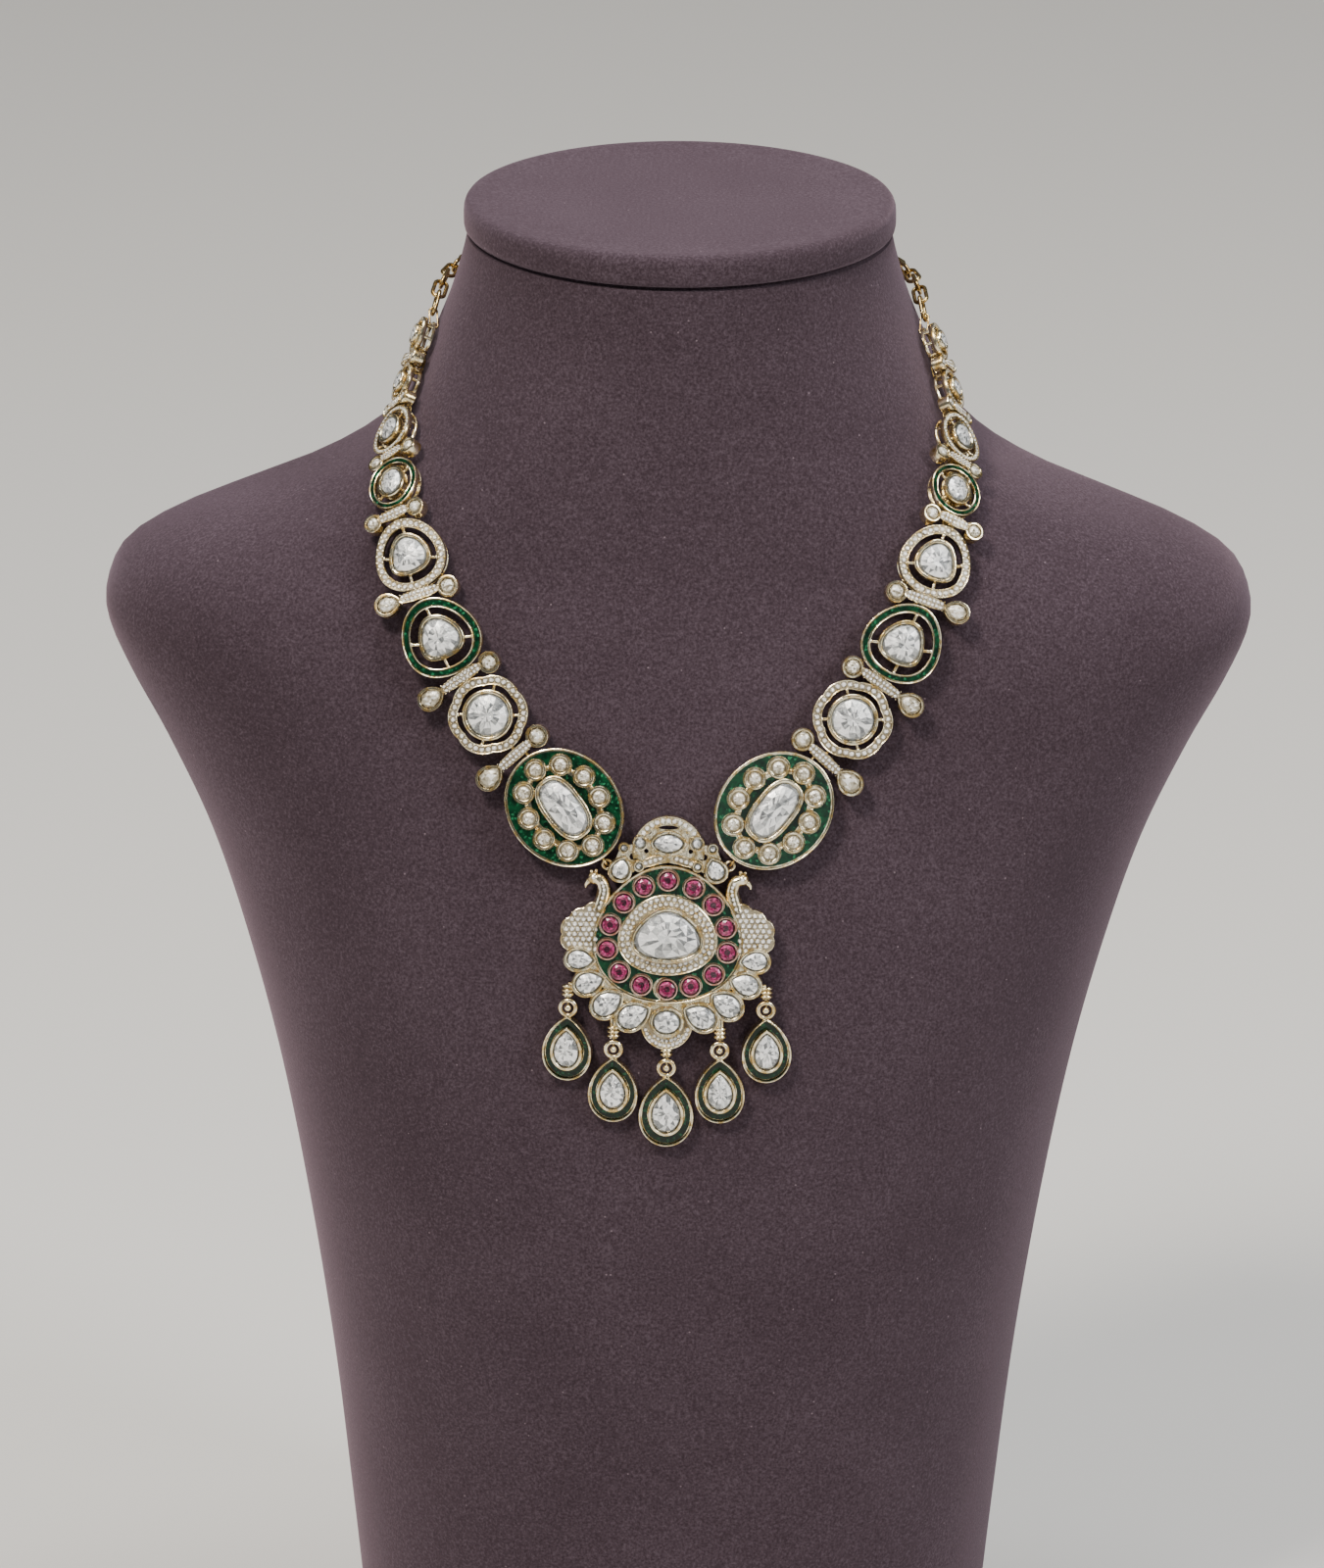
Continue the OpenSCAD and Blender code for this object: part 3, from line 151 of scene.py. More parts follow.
# Kind, width, length, turn, kind, width and length of its setting, band, finish, and the
# turn of the setting within the link
LINKS = [
    ["oval", PLATE_W, PLATE_L, -9, "oblong", PLATE_STONE_W, PLATE_STONE_L, WALL, "plate", 10],
    ["flower", 16, 15.6, 0, "oval", 10, 10, BAND_W, "stones", 0],
    ["pick", 16.2, 15.6, -118, "trine", 9.4, 9.4 * 0.98, BAND_W, "enamel", 0],
    ["pick", 14.6, 14.4, -118, "trine", 8.6, 8.6 * 1.02, BAND_W * 0.95, "stones", 0],
    ["oval", 10.8, 11.4, 0, "oval", 6, 6 * 1.15, BAND_W * 0.7, "enamel", 0],
    ["pick", 10.4, 11.4, 0, "pear", 5.8, 5.8 * 1.25, BAND_W * 0.65, "stones", 0],
    ["oval", 8.4 * 0.95, 8.4, 0, "oval", 4.2, 4.2 * 1.1, BAND_W * 0.5, "stones", 0],
    ["oval", 7.6 * 0.92, 7.6, 0, "oval", 4.2, 4.2, BAND_W * 0.5, "stones", 0],
]
LINK_NAMES = ["plate", "flower_link", "green_link", "trillion_link", "oval_link", "pear_link",
              "neck_link", "end_link"]
# Inner and outer place across the strand, their sizes, the outer one's kind, the bar's
# turn, more room along the strand, and how far the inner one stands off the bar
SPACERS = [
    [-4.7, 7.5, 4.6, 5.0, "pear", -1.5, 1.2, 0],
    [-6.0, 7.3, 4.4, 4.8, "pear", -3, 0.2, -0.5],
    [-5.4, 6.9, 4.4, 4.6, "pear", -4, 0, -0.3],
    [-4.4, 4.8, 3.8, 3.8, "oval", -6, 0.1, -0.35],
    [-4.0, 3.9, 3.6, 3.6, "oval", -6, 0.15, -0.3],
    [-3.5, 3.2, 3.0, 3.0, "oval", 0, 0.2, 0.2],
    [-3.2, 3.0, 2.8, 2.8, "oval", 0, 0.25, 0],
]
DISC_W, DISC_L = 29.4, 27
PENDANT_Z = 181
EYE_AT = (11.9, 13.4)

# %% [markdown]
# ## Where things lie
# The bust's skin is a stack of rounded sections, and the necklace follows a route drawn
# on that skin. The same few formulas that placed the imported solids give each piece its
# frame here: a point just off the velvet, one axis across the strand, one along it and
# one straight out. That is safer than measuring places from a picture.

# %% The bust's skin
def sind(a):
    return math.sin(math.radians(a))


def cosd(a):
    return math.cos(math.radians(a))


def sign(v):
    return (v > 0) - (v < 0)


def slope(rows, i, c):
    lo, hi = max(0, i - 1), min(len(rows) - 1, i + 1)
    return (rows[hi][c] - rows[lo][c]) / (rows[hi][0] - rows[lo][0])


def between(rows, i, w, c):
    step = rows[i + 1][0] - rows[i][0]
    w2, w3 = w * w, w * w * w
    return ((2 * w3 - 3 * w2 + 1) * rows[i][c] + (w3 - 2 * w2 + w) * slope(rows, i, c) * step
            + (3 * w2 - 2 * w3) * rows[i + 1][c] + (w3 - w2) * slope(rows, i + 1, c) * step)


def section(h):
    i = max(k for k in range(len(SECTIONS) - 1) if SECTIONS[k][0] <= max(h, 0))
    w = (h - SECTIONS[i][0]) / (SECTIONS[i + 1][0] - SECTIONS[i][0])
    s = [between(SECTIONS, i, w, c) for c in range(1, 6)]
    return [NECK_W / 2 + s[0] * (SHOULDER_W - NECK_W) / 2,
            NECK_W / 2 + s[1] * (CHEST_D - NECK_W / 2), s[2] * NECK_W / 2 + s[3] * BACK_D, s[4]]


def ring_point(s, t, z):
    x, y = sind(t), cosd(t)
    return Vector((s[0] * sign(x) * abs(x) ** (2 / s[3]),
                   NECK_SET - (s[1] if y > 0 else -s[2]) * abs(y) ** (2 / s[3]), z))


def skin(t, h):
    return ring_point(section(h), t, h * BUST_H)


def skin_normal(t, h):
    across = skin(t + 0.5, h) - skin(t - 0.5, h)
    return across.cross(skin(t, h + 0.002) - skin(t, h - 0.002)).normalized()


def bearing(x, h):
    s = section(h)
    return math.degrees(math.asin(min(1, abs(x) / s[0]) ** (s[3] / 2))) * sign(x)


def outside(q):
    s = section(q.z / BUST_H)
    y = q.y - NECK_SET
    return (abs(q.x) / s[0]) ** s[3] + (abs(y) / (s[1] if y < 0 else s[2])) ** s[3] > 1


def rise(q, n):
    lo, hi = -2.0, 4.0
    for _ in range(9):
        mid = (lo + hi) / 2
        if outside(q + n * mid):
            hi = mid
        else:
            lo = mid
    return hi


def frame_at(t, h, along, rx, ry):
    p, n = skin(t, h), skin_normal(t, h)
    y = (along - n * along.dot(n)).normalized()
    x = y.cross(n)
    most = max(rise(p + x * rx * cosd(a) + y * ry * sind(a), n) for a in range(0, 360, 45))
    return [p + n * (SEAT_GAP + max(0, most)), x, y, n]


def in_frame(f, x, y, z):
    return f[0] + f[1] * x + f[2] * y + f[3] * z


def place(f):
    m = Matrix((f[1], f[2], f[3])).transposed().to_4x4()
    return Matrix.Translation(f[0]) @ m


# %% Outlines of the settings
PICK, TRINE, PEAR_TIP, PEAR_BELLY, PEAR_MAX = 0.16, 0.3, 0.35, 0.1, 1.047


def outline_point(kind, w, l, a):
    c, s = cosd(a), sind(a)
    if kind in ("oval", "round"):
        return (w / 2 * c, l / 2 * s)
    if kind == "flower":
        k = 0.94 + 0.06 * abs(sind(3 * a)) ** 0.8
        return (w / 2 * c * k, l / 2 * s * k)
    if kind in ("pick", "trine"):
        b = PICK if kind == "pick" else TRINE
        return (w / 2 * c * (1 - b * s) / (1 + b * b / 2), l / 2 * s)
    if kind == "oblong":
        return (w / 2 * sign(c) * abs(c) ** 0.76, l / 2 * sign(s) * abs(s) ** 0.76)
    if kind == "navette":
        return (w / 2 * c, l / 2 * s * abs(s) ** 0.3)
    return (w / 2 * c * max(0, 1 - s) ** PEAR_TIP / PEAR_MAX, l / 2 * (s + PEAR_BELLY * c * c))


def outline(kind, w, l, n, turn=0.0):
    return [outline_point(kind, w, l, (k + turn) * 360 / n) for k in range(n)]


def turned(p, t):
    return (p[0] * cosd(t) - p[1] * sind(t), p[0] * sind(t) + p[1] * cosd(t))


# %% The strand's route and the frames of its pieces
pendant_h = PENDANT_Z / BUST_H
PENDANT = frame_at(0, pendant_h, Vector((0, 0, 1)), DISC_W / 2, DISC_L / 2)
eye = in_frame(PENDANT, EYE_AT[0], EYE_AT[1], JOINT_Z)
ROUTE = [[bearing(eye.x, eye.z / BUST_H), eye.z / BUST_H],
         [16.2, 0.7125], [21.6, 0.757], [32, 0.801], [51, 0.8355], [71.5, 0.8645], [80.5, 0.8935],
         [84, 0.921], [95, 0.935], [122, 0.939], [150, 0.94], [180, 0.94]]
ROUTE_N = len(ROUTE) - 1
ROUTE_K = 132


def route_at(u):
    i = min(ROUTE_N - 1, math.floor(u))
    w = u - i
    found = []
    for c in (0, 1):
        a, b, d, e = (ROUTE[max(0, min(ROUTE_N, i + k))][c] for k in (-1, 0, 1, 2))
        found.append(b + w * (d - a) / 2 + w * w * (a - 2.5 * b + 2 * d - e / 2)
                     + w ** 3 * (1.5 * (b - d) + (e - a) / 2))
    return found


def over_skin(q):
    return skin(*q) + skin_normal(*q) * 2


TRAIL = [over_skin(route_at(k * ROUTE_N / ROUTE_K)) for k in range(ROUTE_K + 1)]
LENGTHS = [0.0]
for k in range(ROUTE_K):
    LENGTHS.append(LENGTHS[-1] + (TRAIL[k + 1] - TRAIL[k]).length)
STRAND_HALF = LENGTHS[-1]


def place_at(s):
    j = max(k for k in range(ROUTE_K) if LENGTHS[k] <= max(0, s))
    u = (j + (s - LENGTHS[j]) / (LENGTHS[j + 1] - LENGTHS[j])) * ROUTE_N / ROUTE_K
    return route_at(min(ROUTE_N, u))


def heading(s, reach=3.0):
    ahead = over_skin(place_at(min(STRAND_HALF, s + reach)))
    return (ahead - over_skin(place_at(s - reach))).normalized()


def link_reach(i, end):
    kind, w, l, turn = LINKS[i][:4]
    return max(end * turned(p, turn)[1] for p in outline(kind, w, l, 48))


MIDDLES = [PLATE_GAP + PLATE_L / 2]
GAPS = []
for i in range(len(LINKS) - 1):
    room = LINK_GAP + SPACERS[i][6]
    GAPS.append(MIDDLES[i] + link_reach(i, 1) + room / 2)
    MIDDLES.append(MIDDLES[i] + link_reach(i, 1) + room + link_reach(i + 1, -1))


def strand_frame(s, rx, ry):
    q = place_at(s)
    return frame_at(q[0], q[1], heading(s), rx, ry)


LINK_FRAMES = [strand_frame(MIDDLES[i], LINKS[i][1] / 2 - RAIL_IN, LINKS[i][2] / 2 - RAIL_IN)
               for i in range(len(LINKS))]


def rail_hold(i, end, f):
    kind, w, l, turn = LINKS[i][:4]
    inner = 2 * RAIL_IN + RAIL_W
    spots = [turned(outline_point(kind, w - inner, l - inner, a * 0.75), turn) for a in range(479)]
    held = [in_frame(LINK_FRAMES[i], p[0], p[1], JOINT_Z) for p in spots if end * p[1] > 0]
    return min(held, key=lambda q: abs((q - f[0]).dot(f[1])))


def spacer_frame(i):
    f = strand_frame(GAPS[i], SPACERS[i][1], 1)
    both = (rail_hold(i, 1, f) - f[0]) + (rail_hold(i + 1, -1, f) - f[0])
    o = f[0] + f[2] * both.dot(f[2]) / 2 + f[3] * max(0, both.dot(f[3]) / 2 - JOINT_Z)
    t = SPACERS[i][5]
    return [o, f[1] * cosd(t) + f[2] * sind(t), f[2] * cosd(t) - f[1] * sind(t), f[3]]


SPACER_FRAMES = [spacer_frame(i) for i in range(len(LINKS) - 1)]
print("half of the loop in mm:", round(STRAND_HALF, 1))

# %% [markdown]
# ## Materials
# Each one starts from the real stuff: polished plated brass, foil-backed quartz, ruby
# glass, fired green enamel and flocked velvet. Colours are given as hex codes and turned
# to linear light once, and every pattern's scale comes from a size in millimetres.

# %% Helpers for materials
def linear(code):
    parts = [int(code[k:k + 2], 16) / 255 for k in (1, 3, 5)]
    return [p / 12.92 if p <= 0.04045 else ((p + 0.055) / 1.055) ** 2.4 for p in parts] + [1]


def add_node(tree, kind, inputs=None, **settings):
    made = tree.nodes.new(kind)
    for name, value in settings.items():
        setattr(made, name, value)
    for name, value in (inputs or {}).items():
        if isinstance(value, bpy.types.NodeSocket):
            tree.links.new(value, made.inputs[name])
        else:
            made.inputs[name].default_value = value
    return made


def new_material(name):
    made = bpy.data.materials.new(name)
    made.use_nodes = True
    tree = made.node_tree
    return made, tree, tree.nodes["Principled BSDF"], add_node(tree, "ShaderNodeTexCoord").outputs["Object"]


def set_ramp(ramp_node, stops):
    ramp = ramp_node.color_ramp
    while len(ramp.elements) < len(stops):
        ramp.elements.new(0.5)
    for element, (spot, code) in zip(ramp.elements, stops):
        element.position = spot
        element.color = linear(code)


def per_metre(size_mm):
    return 1000 / size_mm


# %% Plated gold
# Brass under pale gold plate, tumbled and buffed: bright and warm, with soft waves and the
# odd dull spot where the plate is thin.
def gold_material(name, bright, dull, rough):
    made, tree, shader, spot = new_material(name)
    waves = add_node(tree, "ShaderNodeTexNoise", {"Vector": spot, "Scale": per_metre(1.4), "Detail": 4})
    tint = add_node(tree, "ShaderNodeValToRGB", {"Fac": waves.outputs["Fac"]})
    set_ramp(tint, [(0.38, dull), (0.58, bright)])
    buff = add_node(tree, "ShaderNodeMapRange", {"Value": waves.outputs["Fac"], "From Min": 0.35,
                                                 "From Max": 0.65, "To Min": rough + 0.14, "To Max": rough})
    grain = add_node(tree, "ShaderNodeTexNoise", {"Vector": spot, "Scale": per_metre(0.4), "Detail": 2})
    bump = add_node(tree, "ShaderNodeBump", {"Height": grain.outputs["Fac"], "Strength": 0.35,
                                             "Distance": 0.00006})
    tree.links.new(tint.outputs["Color"], shader.inputs["Base Color"])
    tree.links.new(buff.outputs["Result"], shader.inputs["Roughness"])
    tree.links.new(bump.outputs["Normal"], shader.inputs["Normal"])
    shader.inputs["Metallic"].default_value = 1
    return made


GOLD = gold_material("pale gold plate", "#F4EACB", "#C0A56C", 0.16)
ROSE_GOLD = gold_material("gold round the rubies", "#F4D0BC", "#C78873", 0.2)
WIRE_GOLD = gold_material("gold wire", "#DCC389", "#A3824A", 0.2)
# The cut-down floor between tiny stones: rough and never polished, and darker than the plate, which is
# painted shade for the shadow that fills it
SHADED_BED = gold_material("bed painted in shade", "#BCB096", "#8C8169", 0.38)

# %% Foil-backed stones
# Flat-backed quartz over crinkled silver foil. The light that comes back from the foil is
# painted into the base colour: each facet is its own patch of white or grey, a painted
# reflection, the light end of each ramp is painted highlight, and the crinkles draw painted
# streaks through it. A number kept on each face gives that patch its tone.
def stone_material(name, stops, rough, metallic, streak=0.5):
    made, tree, shader, spot = new_material(name)
    tone = add_node(tree, "ShaderNodeAttribute", attribute_name="tone")
    clouds = add_node(tree, "ShaderNodeTexNoise", {"Vector": spot, "Scale": per_metre(0.8), "Detail": 4,
                                                   "Distortion": 1.6})
    mixed = add_node(tree, "ShaderNodeMath", {0: clouds.outputs["Fac"], 1: streak, 2: tone.outputs["Fac"]},
                     operation="MULTIPLY_ADD")
    shade = add_node(tree, "ShaderNodeValToRGB", {"Fac": mixed.outputs["Value"]})
    set_ramp(shade, stops)
    crinkle = add_node(tree, "ShaderNodeBump", {"Height": clouds.outputs["Fac"], "Strength": 0.8,
                                                "Distance": 0.00025})
    tree.links.new(shade.outputs["Color"], shader.inputs["Base Color"])
    tree.links.new(crinkle.outputs["Normal"], shader.inputs["Normal"])
    shader.inputs["Roughness"].default_value = rough
    shader.inputs["Metallic"].default_value = metallic
    shader.inputs["Coat Weight"].default_value = 0.6
    shader.inputs["Coat Roughness"].default_value = 0.03
    return made


CLEAR_STONE = stone_material("foil-backed quartz", [(0.2, "#66696B"), (0.46, "#ACAFAF"), (0.68, "#EAECEB"),
                                                    (0.9, "#FFFFFF")], 0.16, 0.4)
WARM_STONE = stone_material("quartz on yellowed foil", [(0.2, "#7B7361"), (0.5, "#B7B09B"),
                                                        (0.8, "#DDD8C8"), (1.0, "#FBFAF4")], 0.2, 0.4)
SMALL_STONE = stone_material("tiny white stones", [(0.15, "#8F8C84"), (0.4, "#DAD8D1"), (0.75, "#FFFFFF")],
                             0.12, 0.25, 0.3)
RUBY = stone_material("ruby glass", [(0.12, "#1E0210"), (0.4, "#4C0528"), (0.7, "#800A43"),
                                     (1.0, "#B63F7C")], 0.15, 0.3, 0.35)

# %% Green enamel
# Powdered glass fired in a groove and ground flush: deep green, glossy, with flecks of
# foil that shine through it here and there. The drops carry a darker batch.
def enamel_material(name, deep, mid, light, fleck):
    made, tree, shader, spot = new_material(name)
    depth = add_node(tree, "ShaderNodeTexNoise", {"Vector": spot, "Scale": per_metre(1.3), "Detail": 4})
    body = add_node(tree, "ShaderNodeValToRGB", {"Fac": depth.outputs["Fac"]})
    set_ramp(body, [(0.3, deep), (0.52, mid), (0.72, light)])
    flecks = add_node(tree, "ShaderNodeTexVoronoi", {"Vector": spot, "Scale": per_metre(0.42)})
    sparkle = add_node(tree, "ShaderNodeSeparateColor", {"Color": flecks.outputs["Color"]})
    chosen = add_node(tree, "ShaderNodeMapRange", {"Value": sparkle.outputs["Red"], "From Min": 0.86,
                                                   "From Max": 1.0, "To Min": 0.0, "To Max": 0.7})
    with_flecks = add_node(tree, "ShaderNodeMix", {"Factor": chosen.outputs["Result"],
                                                   "A": body.outputs["Color"], "B": linear(fleck)},
                           data_type="RGBA")
    ripple = add_node(tree, "ShaderNodeBump", {"Height": depth.outputs["Fac"], "Strength": 0.25,
                                               "Distance": 0.0001})
    tree.links.new(with_flecks.outputs["Result"], shader.inputs["Base Color"])
    tree.links.new(ripple.outputs["Normal"], shader.inputs["Normal"])
    shader.inputs["Roughness"].default_value = 0.22
    shader.inputs["Specular IOR Level"].default_value = 0.3
    return made


ENAMEL = enamel_material("fired green enamel", "#01140B", "#042A18", "#093F24", "#2F7F57")
DARK_ENAMEL = enamel_material("dark green enamel", "#010D07", "#031D10", "#07321D", "#1F5F40")

# %% Velvet
# Flocked velvet, plum brown. The short pile scatters light at the rims, shows as fine
# specks close by, and pale lint sits on it.
VELVET, tree, shader, spot = new_material("plum velvet")
patches = add_node(tree, "ShaderNodeTexNoise", {"Vector": spot, "Scale": per_metre(30), "Detail": 3})
pile = add_node(tree, "ShaderNodeTexNoise", {"Vector": spot, "Scale": per_metre(0.55), "Detail": 3,
                                             "Roughness": 0.7})
both = add_node(tree, "ShaderNodeMath", {0: patches.outputs["Fac"], 1: 0.18, 2: pile.outputs["Fac"]},
                operation="MULTIPLY_ADD")
plum = add_node(tree, "ShaderNodeValToRGB", {"Fac": both.outputs["Value"]})
set_ramp(plum, [(0.44, "#2C2228"), (0.6, "#392E35"), (0.76, "#4A3F47")])
lint_spots = add_node(tree, "ShaderNodeTexVoronoi", {"Vector": spot, "Scale": per_metre(2.2)})
lint_pick = add_node(tree, "ShaderNodeSeparateColor", {"Color": lint_spots.outputs["Color"]})
rare = add_node(tree, "ShaderNodeMath", {0: lint_pick.outputs["Green"], 1: 0.86},
                operation="GREATER_THAN")
near = add_node(tree, "ShaderNodeMapRange", {"Value": lint_spots.outputs["Distance"], "From Min": 0.05,
                                             "From Max": 0.1, "To Min": 0.35, "To Max": 0.0})
lint = add_node(tree, "ShaderNodeMath", {0: rare.outputs["Value"], 1: near.outputs["Result"]},
                operation="MULTIPLY")
dusted = add_node(tree, "ShaderNodeMix", {"Factor": lint.outputs["Value"], "A": plum.outputs["Color"],
                                          "B": linear("#A3929B")}, data_type="RGBA")
nap = add_node(tree, "ShaderNodeBump", {"Height": pile.outputs["Fac"], "Strength": 0.35,
                                        "Distance": 0.0002})
tree.links.new(dusted.outputs["Result"], shader.inputs["Base Color"])
tree.links.new(nap.outputs["Normal"], shader.inputs["Normal"])
shader.inputs["Roughness"].default_value = 0.95
shader.inputs["Specular IOR Level"].default_value = 0.12
shader.inputs["Sheen Weight"].default_value = 0.4
shader.inputs["Sheen Roughness"].default_value = 0.5
shader.inputs["Sheen Tint"].default_value = linear("#B79FAE")

# %% [markdown]
# ## Building helpers
# Almost every metal part here is one outline carried through a profile: a bezel, a rail,
# a band with its groove. One helper draws the outline as an edge loop and extrudes it
# from ring to ring. Another turns the finished bmesh into a named piece.

# %% Sweep an outline through a profile
def sweep(bm, rings, first_cap=True, last_cap=True):
    """Returns all points, those of both ends, and the faces of each step."""
    verts = [bm.verts.new(p) for p in rings[0]]
    n = len(verts)
    edges = [bm.edges.new((verts[k], verts[(k + 1) % n])) for k in range(n)]
    made = list(verts)
    start = verts
    steps = []
    for ring in rings[1:]:
        out = bmesh.ops.extrude_edge_only(bm, edges=edges)["geom"]
        steps.append([f for f in out if isinstance(f, bmesh.types.BMFace)])
        fresh = {v for v in out if isinstance(v, bmesh.types.BMVert)}
        verts = [next(e.other_vert(v) for e in v.link_edges if e.other_vert(v) in fresh) for v in verts]
        for v, p in zip(verts, ring):
            v.co = p
        edges = [bm.edges.get((verts[k], verts[(k + 1) % n])) for k in range(n)]
        made += verts
    if first_cap:
        bm.faces.new(list(reversed(start)))
    if last_cap:
        steps.append([bm.faces.new(verts)])
    return made, start, verts, steps


def profile(bm, where, kind, w, l, rows, n, closed=False, turn=0.0, inked=(), ink=1):
    """Rows are (inset, height). A closed profile meets itself, as a rail or a band does.
    Inked steps of the profile take another material: the bed painted in shade, or the rose gold round the
    rubies."""
    rings = [[where @ Vector((x, y, z)) for x, y in outline(kind, w - 2 * inset, l - 2 * inset, n, turn)]
             for inset, z in rows]
    if closed:
        made, start, end, steps = sweep(bm, rings + [rings[0]], False, False)
    else:
        made, start, end, steps = sweep(bm, rings)
    for k in inked:
        for f in steps[k]:
            f.material_index = ink
    if closed:
        bmesh.ops.remove_doubles(bm, verts=start + end, dist=1e-5)
    return [v for v in made if v.is_valid]


def new_bmesh():
    bm = bmesh.new()
    # the tone layer holds each stone face's painted reflection or painted shade
    bm.faces.layers.float.new("tone")
    return bm


MIRROR = Matrix.Scale(-1, 4, (1, 0, 0))
MM = Matrix.Scale(0.001, 4)
triangles = {}


def finish_piece(name, bm, materials, replaced, side="", crease=38):
    """Turns a bmesh drawn in millimetres on the right side into a piece, and keeps the bmesh."""
    copy = bm.copy()
    if side == "left":
        copy.transform(MIRROR)
    copy.transform(MM)
    bmesh.ops.recalc_face_normals(copy, faces=copy.faces)
    mesh = bpy.data.meshes.new(name)
    copy.to_mesh(mesh)
    copy.free()
    for material in materials:
        mesh.materials.append(material)
    if crease:
        for polygon in mesh.polygons:
            polygon.use_smooth = True
        mesh.set_sharp_from_angle(angle=math.radians(crease))
    piece = bpy.data.objects.new(name, mesh)
    bpy.context.scene.collection.objects.link(piece)
    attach(piece, "root")
    if replaced:
        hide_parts(*replaced)
    triangles[name] = sum(len(p.vertices) - 2 for p in mesh.polygons)


def both_sides(name, bm, materials, replaced, crease=38):
    for side in ("left", "right"):
        finish_piece(f"{name}_{side}", bm, materials, [f"{r}_{side}" for r in replaced], side, crease)
    bm.free()


def spot_on(where, x, y, turn=0.0):
    """A place on a piece: its frame moved across its face, then turned about its own middle."""
    return where @ Matrix.Translation((x, y, 0)) @ Matrix.Rotation(math.radians(turn), 4, "Z")

# %% A closed setting: wall, rolled lip and the pocket inside
POCKET = 0.62  # share of the lip's width at which the pocket starts
EASE = 0.02  # left free all round a stone in its pocket


def bezel(bm, where, kind, w, l, z0, z1, n=40, lip=1.0, ink=0):
    rows = [(0.1, z0), (0, z0 + 0.12), (0, z1 - 0.36), (0.03, z1 - 0.16), (0.12 * lip, z1 - 0.03),
            (0.28 * lip, z1), (0.48 * lip, z1 - 0.02), (0.57 * lip, z1 - 0.12),
            (POCKET * lip, z1 - 0.34), (POCKET * lip, z0 + FLOOR_T)]
    profile(bm, where, kind, w, l, rows, n, inked=range(len(rows)) if ink else (), ink=ink)

# %% A cut stone: girdle, two rows of crown facets and a poked table
SIX_TONES = (0.0, 0.15, 0.3, 0.45, 0.6, 0.75)
# dark tones for the girdle's faces: painted shade in the gap beside the bezel
EDGE_SHADE_TONES = (0.0, 0.0, 0.12)
NEW_PATCH = 0.7  # how often a facet of the table starts a tone of its own


def round_about(faces, where):
    """Faces by their angle round the stone, as an operator may hand them back in any order."""
    back = where.inverted()
    middles = {f: back @ f.calc_center_median() for f in faces}
    return sorted(faces, key=lambda f: (math.atan2(middles[f].y, middles[f].x), middles[f].z))


def cut_stone(bm, where, kind, w, l, z1, n, rng, rows=None, depth=0.9, lip=1.0, tones=SIX_TONES,
              table_tones=(0.0, 0.2, 0.4, 0.6, 0.75)):
    """Sized to fill the pocket of a bezel that has the same width, length and lip."""
    tone = bm.faces.layers.float["tone"]
    gw, gl = (size - 2 * (POCKET * lip + EASE) for size in (w, l))
    crown = 0.08 * min(w, l)
    rows = rows or [(1, 0, -depth), (1, 0, -0.4), (0.9, 0.5, -0.05), (0.6, 0, 0.62), (0.3, 0.5, 1)]
    rings = []
    for share, turn, z in rows:
        ring = []
        for k in range(n):
            off = turn + (rng.uniform(-0.16, 0.16) if share < 1 else 0)
            x, y = outline_point(kind, gw, gl, (k + off) * 360 / n)
            s = share * (rng.uniform(0.96, 1.04) if share < 1 else 1)
            ring.append(where @ Vector((x * s, y * s, z1 + (z * crown if z >= 0 else z))))
        rings.append(ring)
    steps = sweep(bm, rings)[3]
    rim = bmesh.ops.triangulate(bm, faces=steps[0] + steps[1])["faces"]
    crown_faces = [f for step in steps[2:-1] for f in step]
    split = bmesh.ops.triangulate(bm, faces=crown_faces, quad_method="SHORT_EDGE")["faces"]
    poked = bmesh.ops.poke(bm, faces=steps[-1])["faces"]
    # painted shade on the girdle draws a dark line beside the bezel, then the crown's painted reflections,
    # then a table of a few larger patches of painted reflection
    for f in round_about(rim, where):
        f[tone] = rng.choice(EDGE_SHADE_TONES)
    for f in round_about(split, where):
        f[tone] = rng.choice(tones)
    last = 0.4
    for f in round_about(poked, where):
        last = rng.choice(table_tones) if rng.random() < NEW_PATCH else last
        f[tone] = last


def set_stone(metal, gems, where, kind, w, l, z0, z1, n, lip, facets, rng, rows=None, ink=0, **tones):
    """A closed setting of n sides and the stone that fills its pocket."""
    bezel(metal, where, kind, w, l, z0, z1, n, lip, ink)
    cut_stone(gems, where, kind, w, l, z1, facets, rng, rows, lip=lip, **tones)

# %% Tiny stones and the beads that hold them
# the flat caps of tiny stones get light tones, a painted highlight on the table; the sides get darker
# painted reflections
CAP_HIGHLIGHT_TONES = (0.5, 0.7, 0.9)
SIDE_TONES = (0.0, 0.1, 0.25, 0.5, 0.8)


def tiny_stone(bm, where, x, y, z, d, rng):
    tone = bm.faces.layers.float["tone"]
    put = where @ Matrix.Translation((x, y, z)) @ Matrix.Rotation(rng.uniform(0, 0.8), 4, "Z")
    made = bmesh.ops.create_cone(bm, cap_ends=True, segments=8, radius1=d / 2, radius2=d * 0.27,
                                 depth=d * 0.42, matrix=put)["verts"]
    for f in dict.fromkeys(f for v in made for f in v.link_faces):
        f[tone] = rng.choice(CAP_HIGHLIGHT_TONES if len(f.verts) > 4 else SIDE_TONES)


def bead(bm, where, x, y, z, d, detail=1):
    put = where @ Matrix.Translation((x, y, z))
    bmesh.ops.create_icosphere(bm, subdivisions=detail, radius=d / 2, matrix=put)


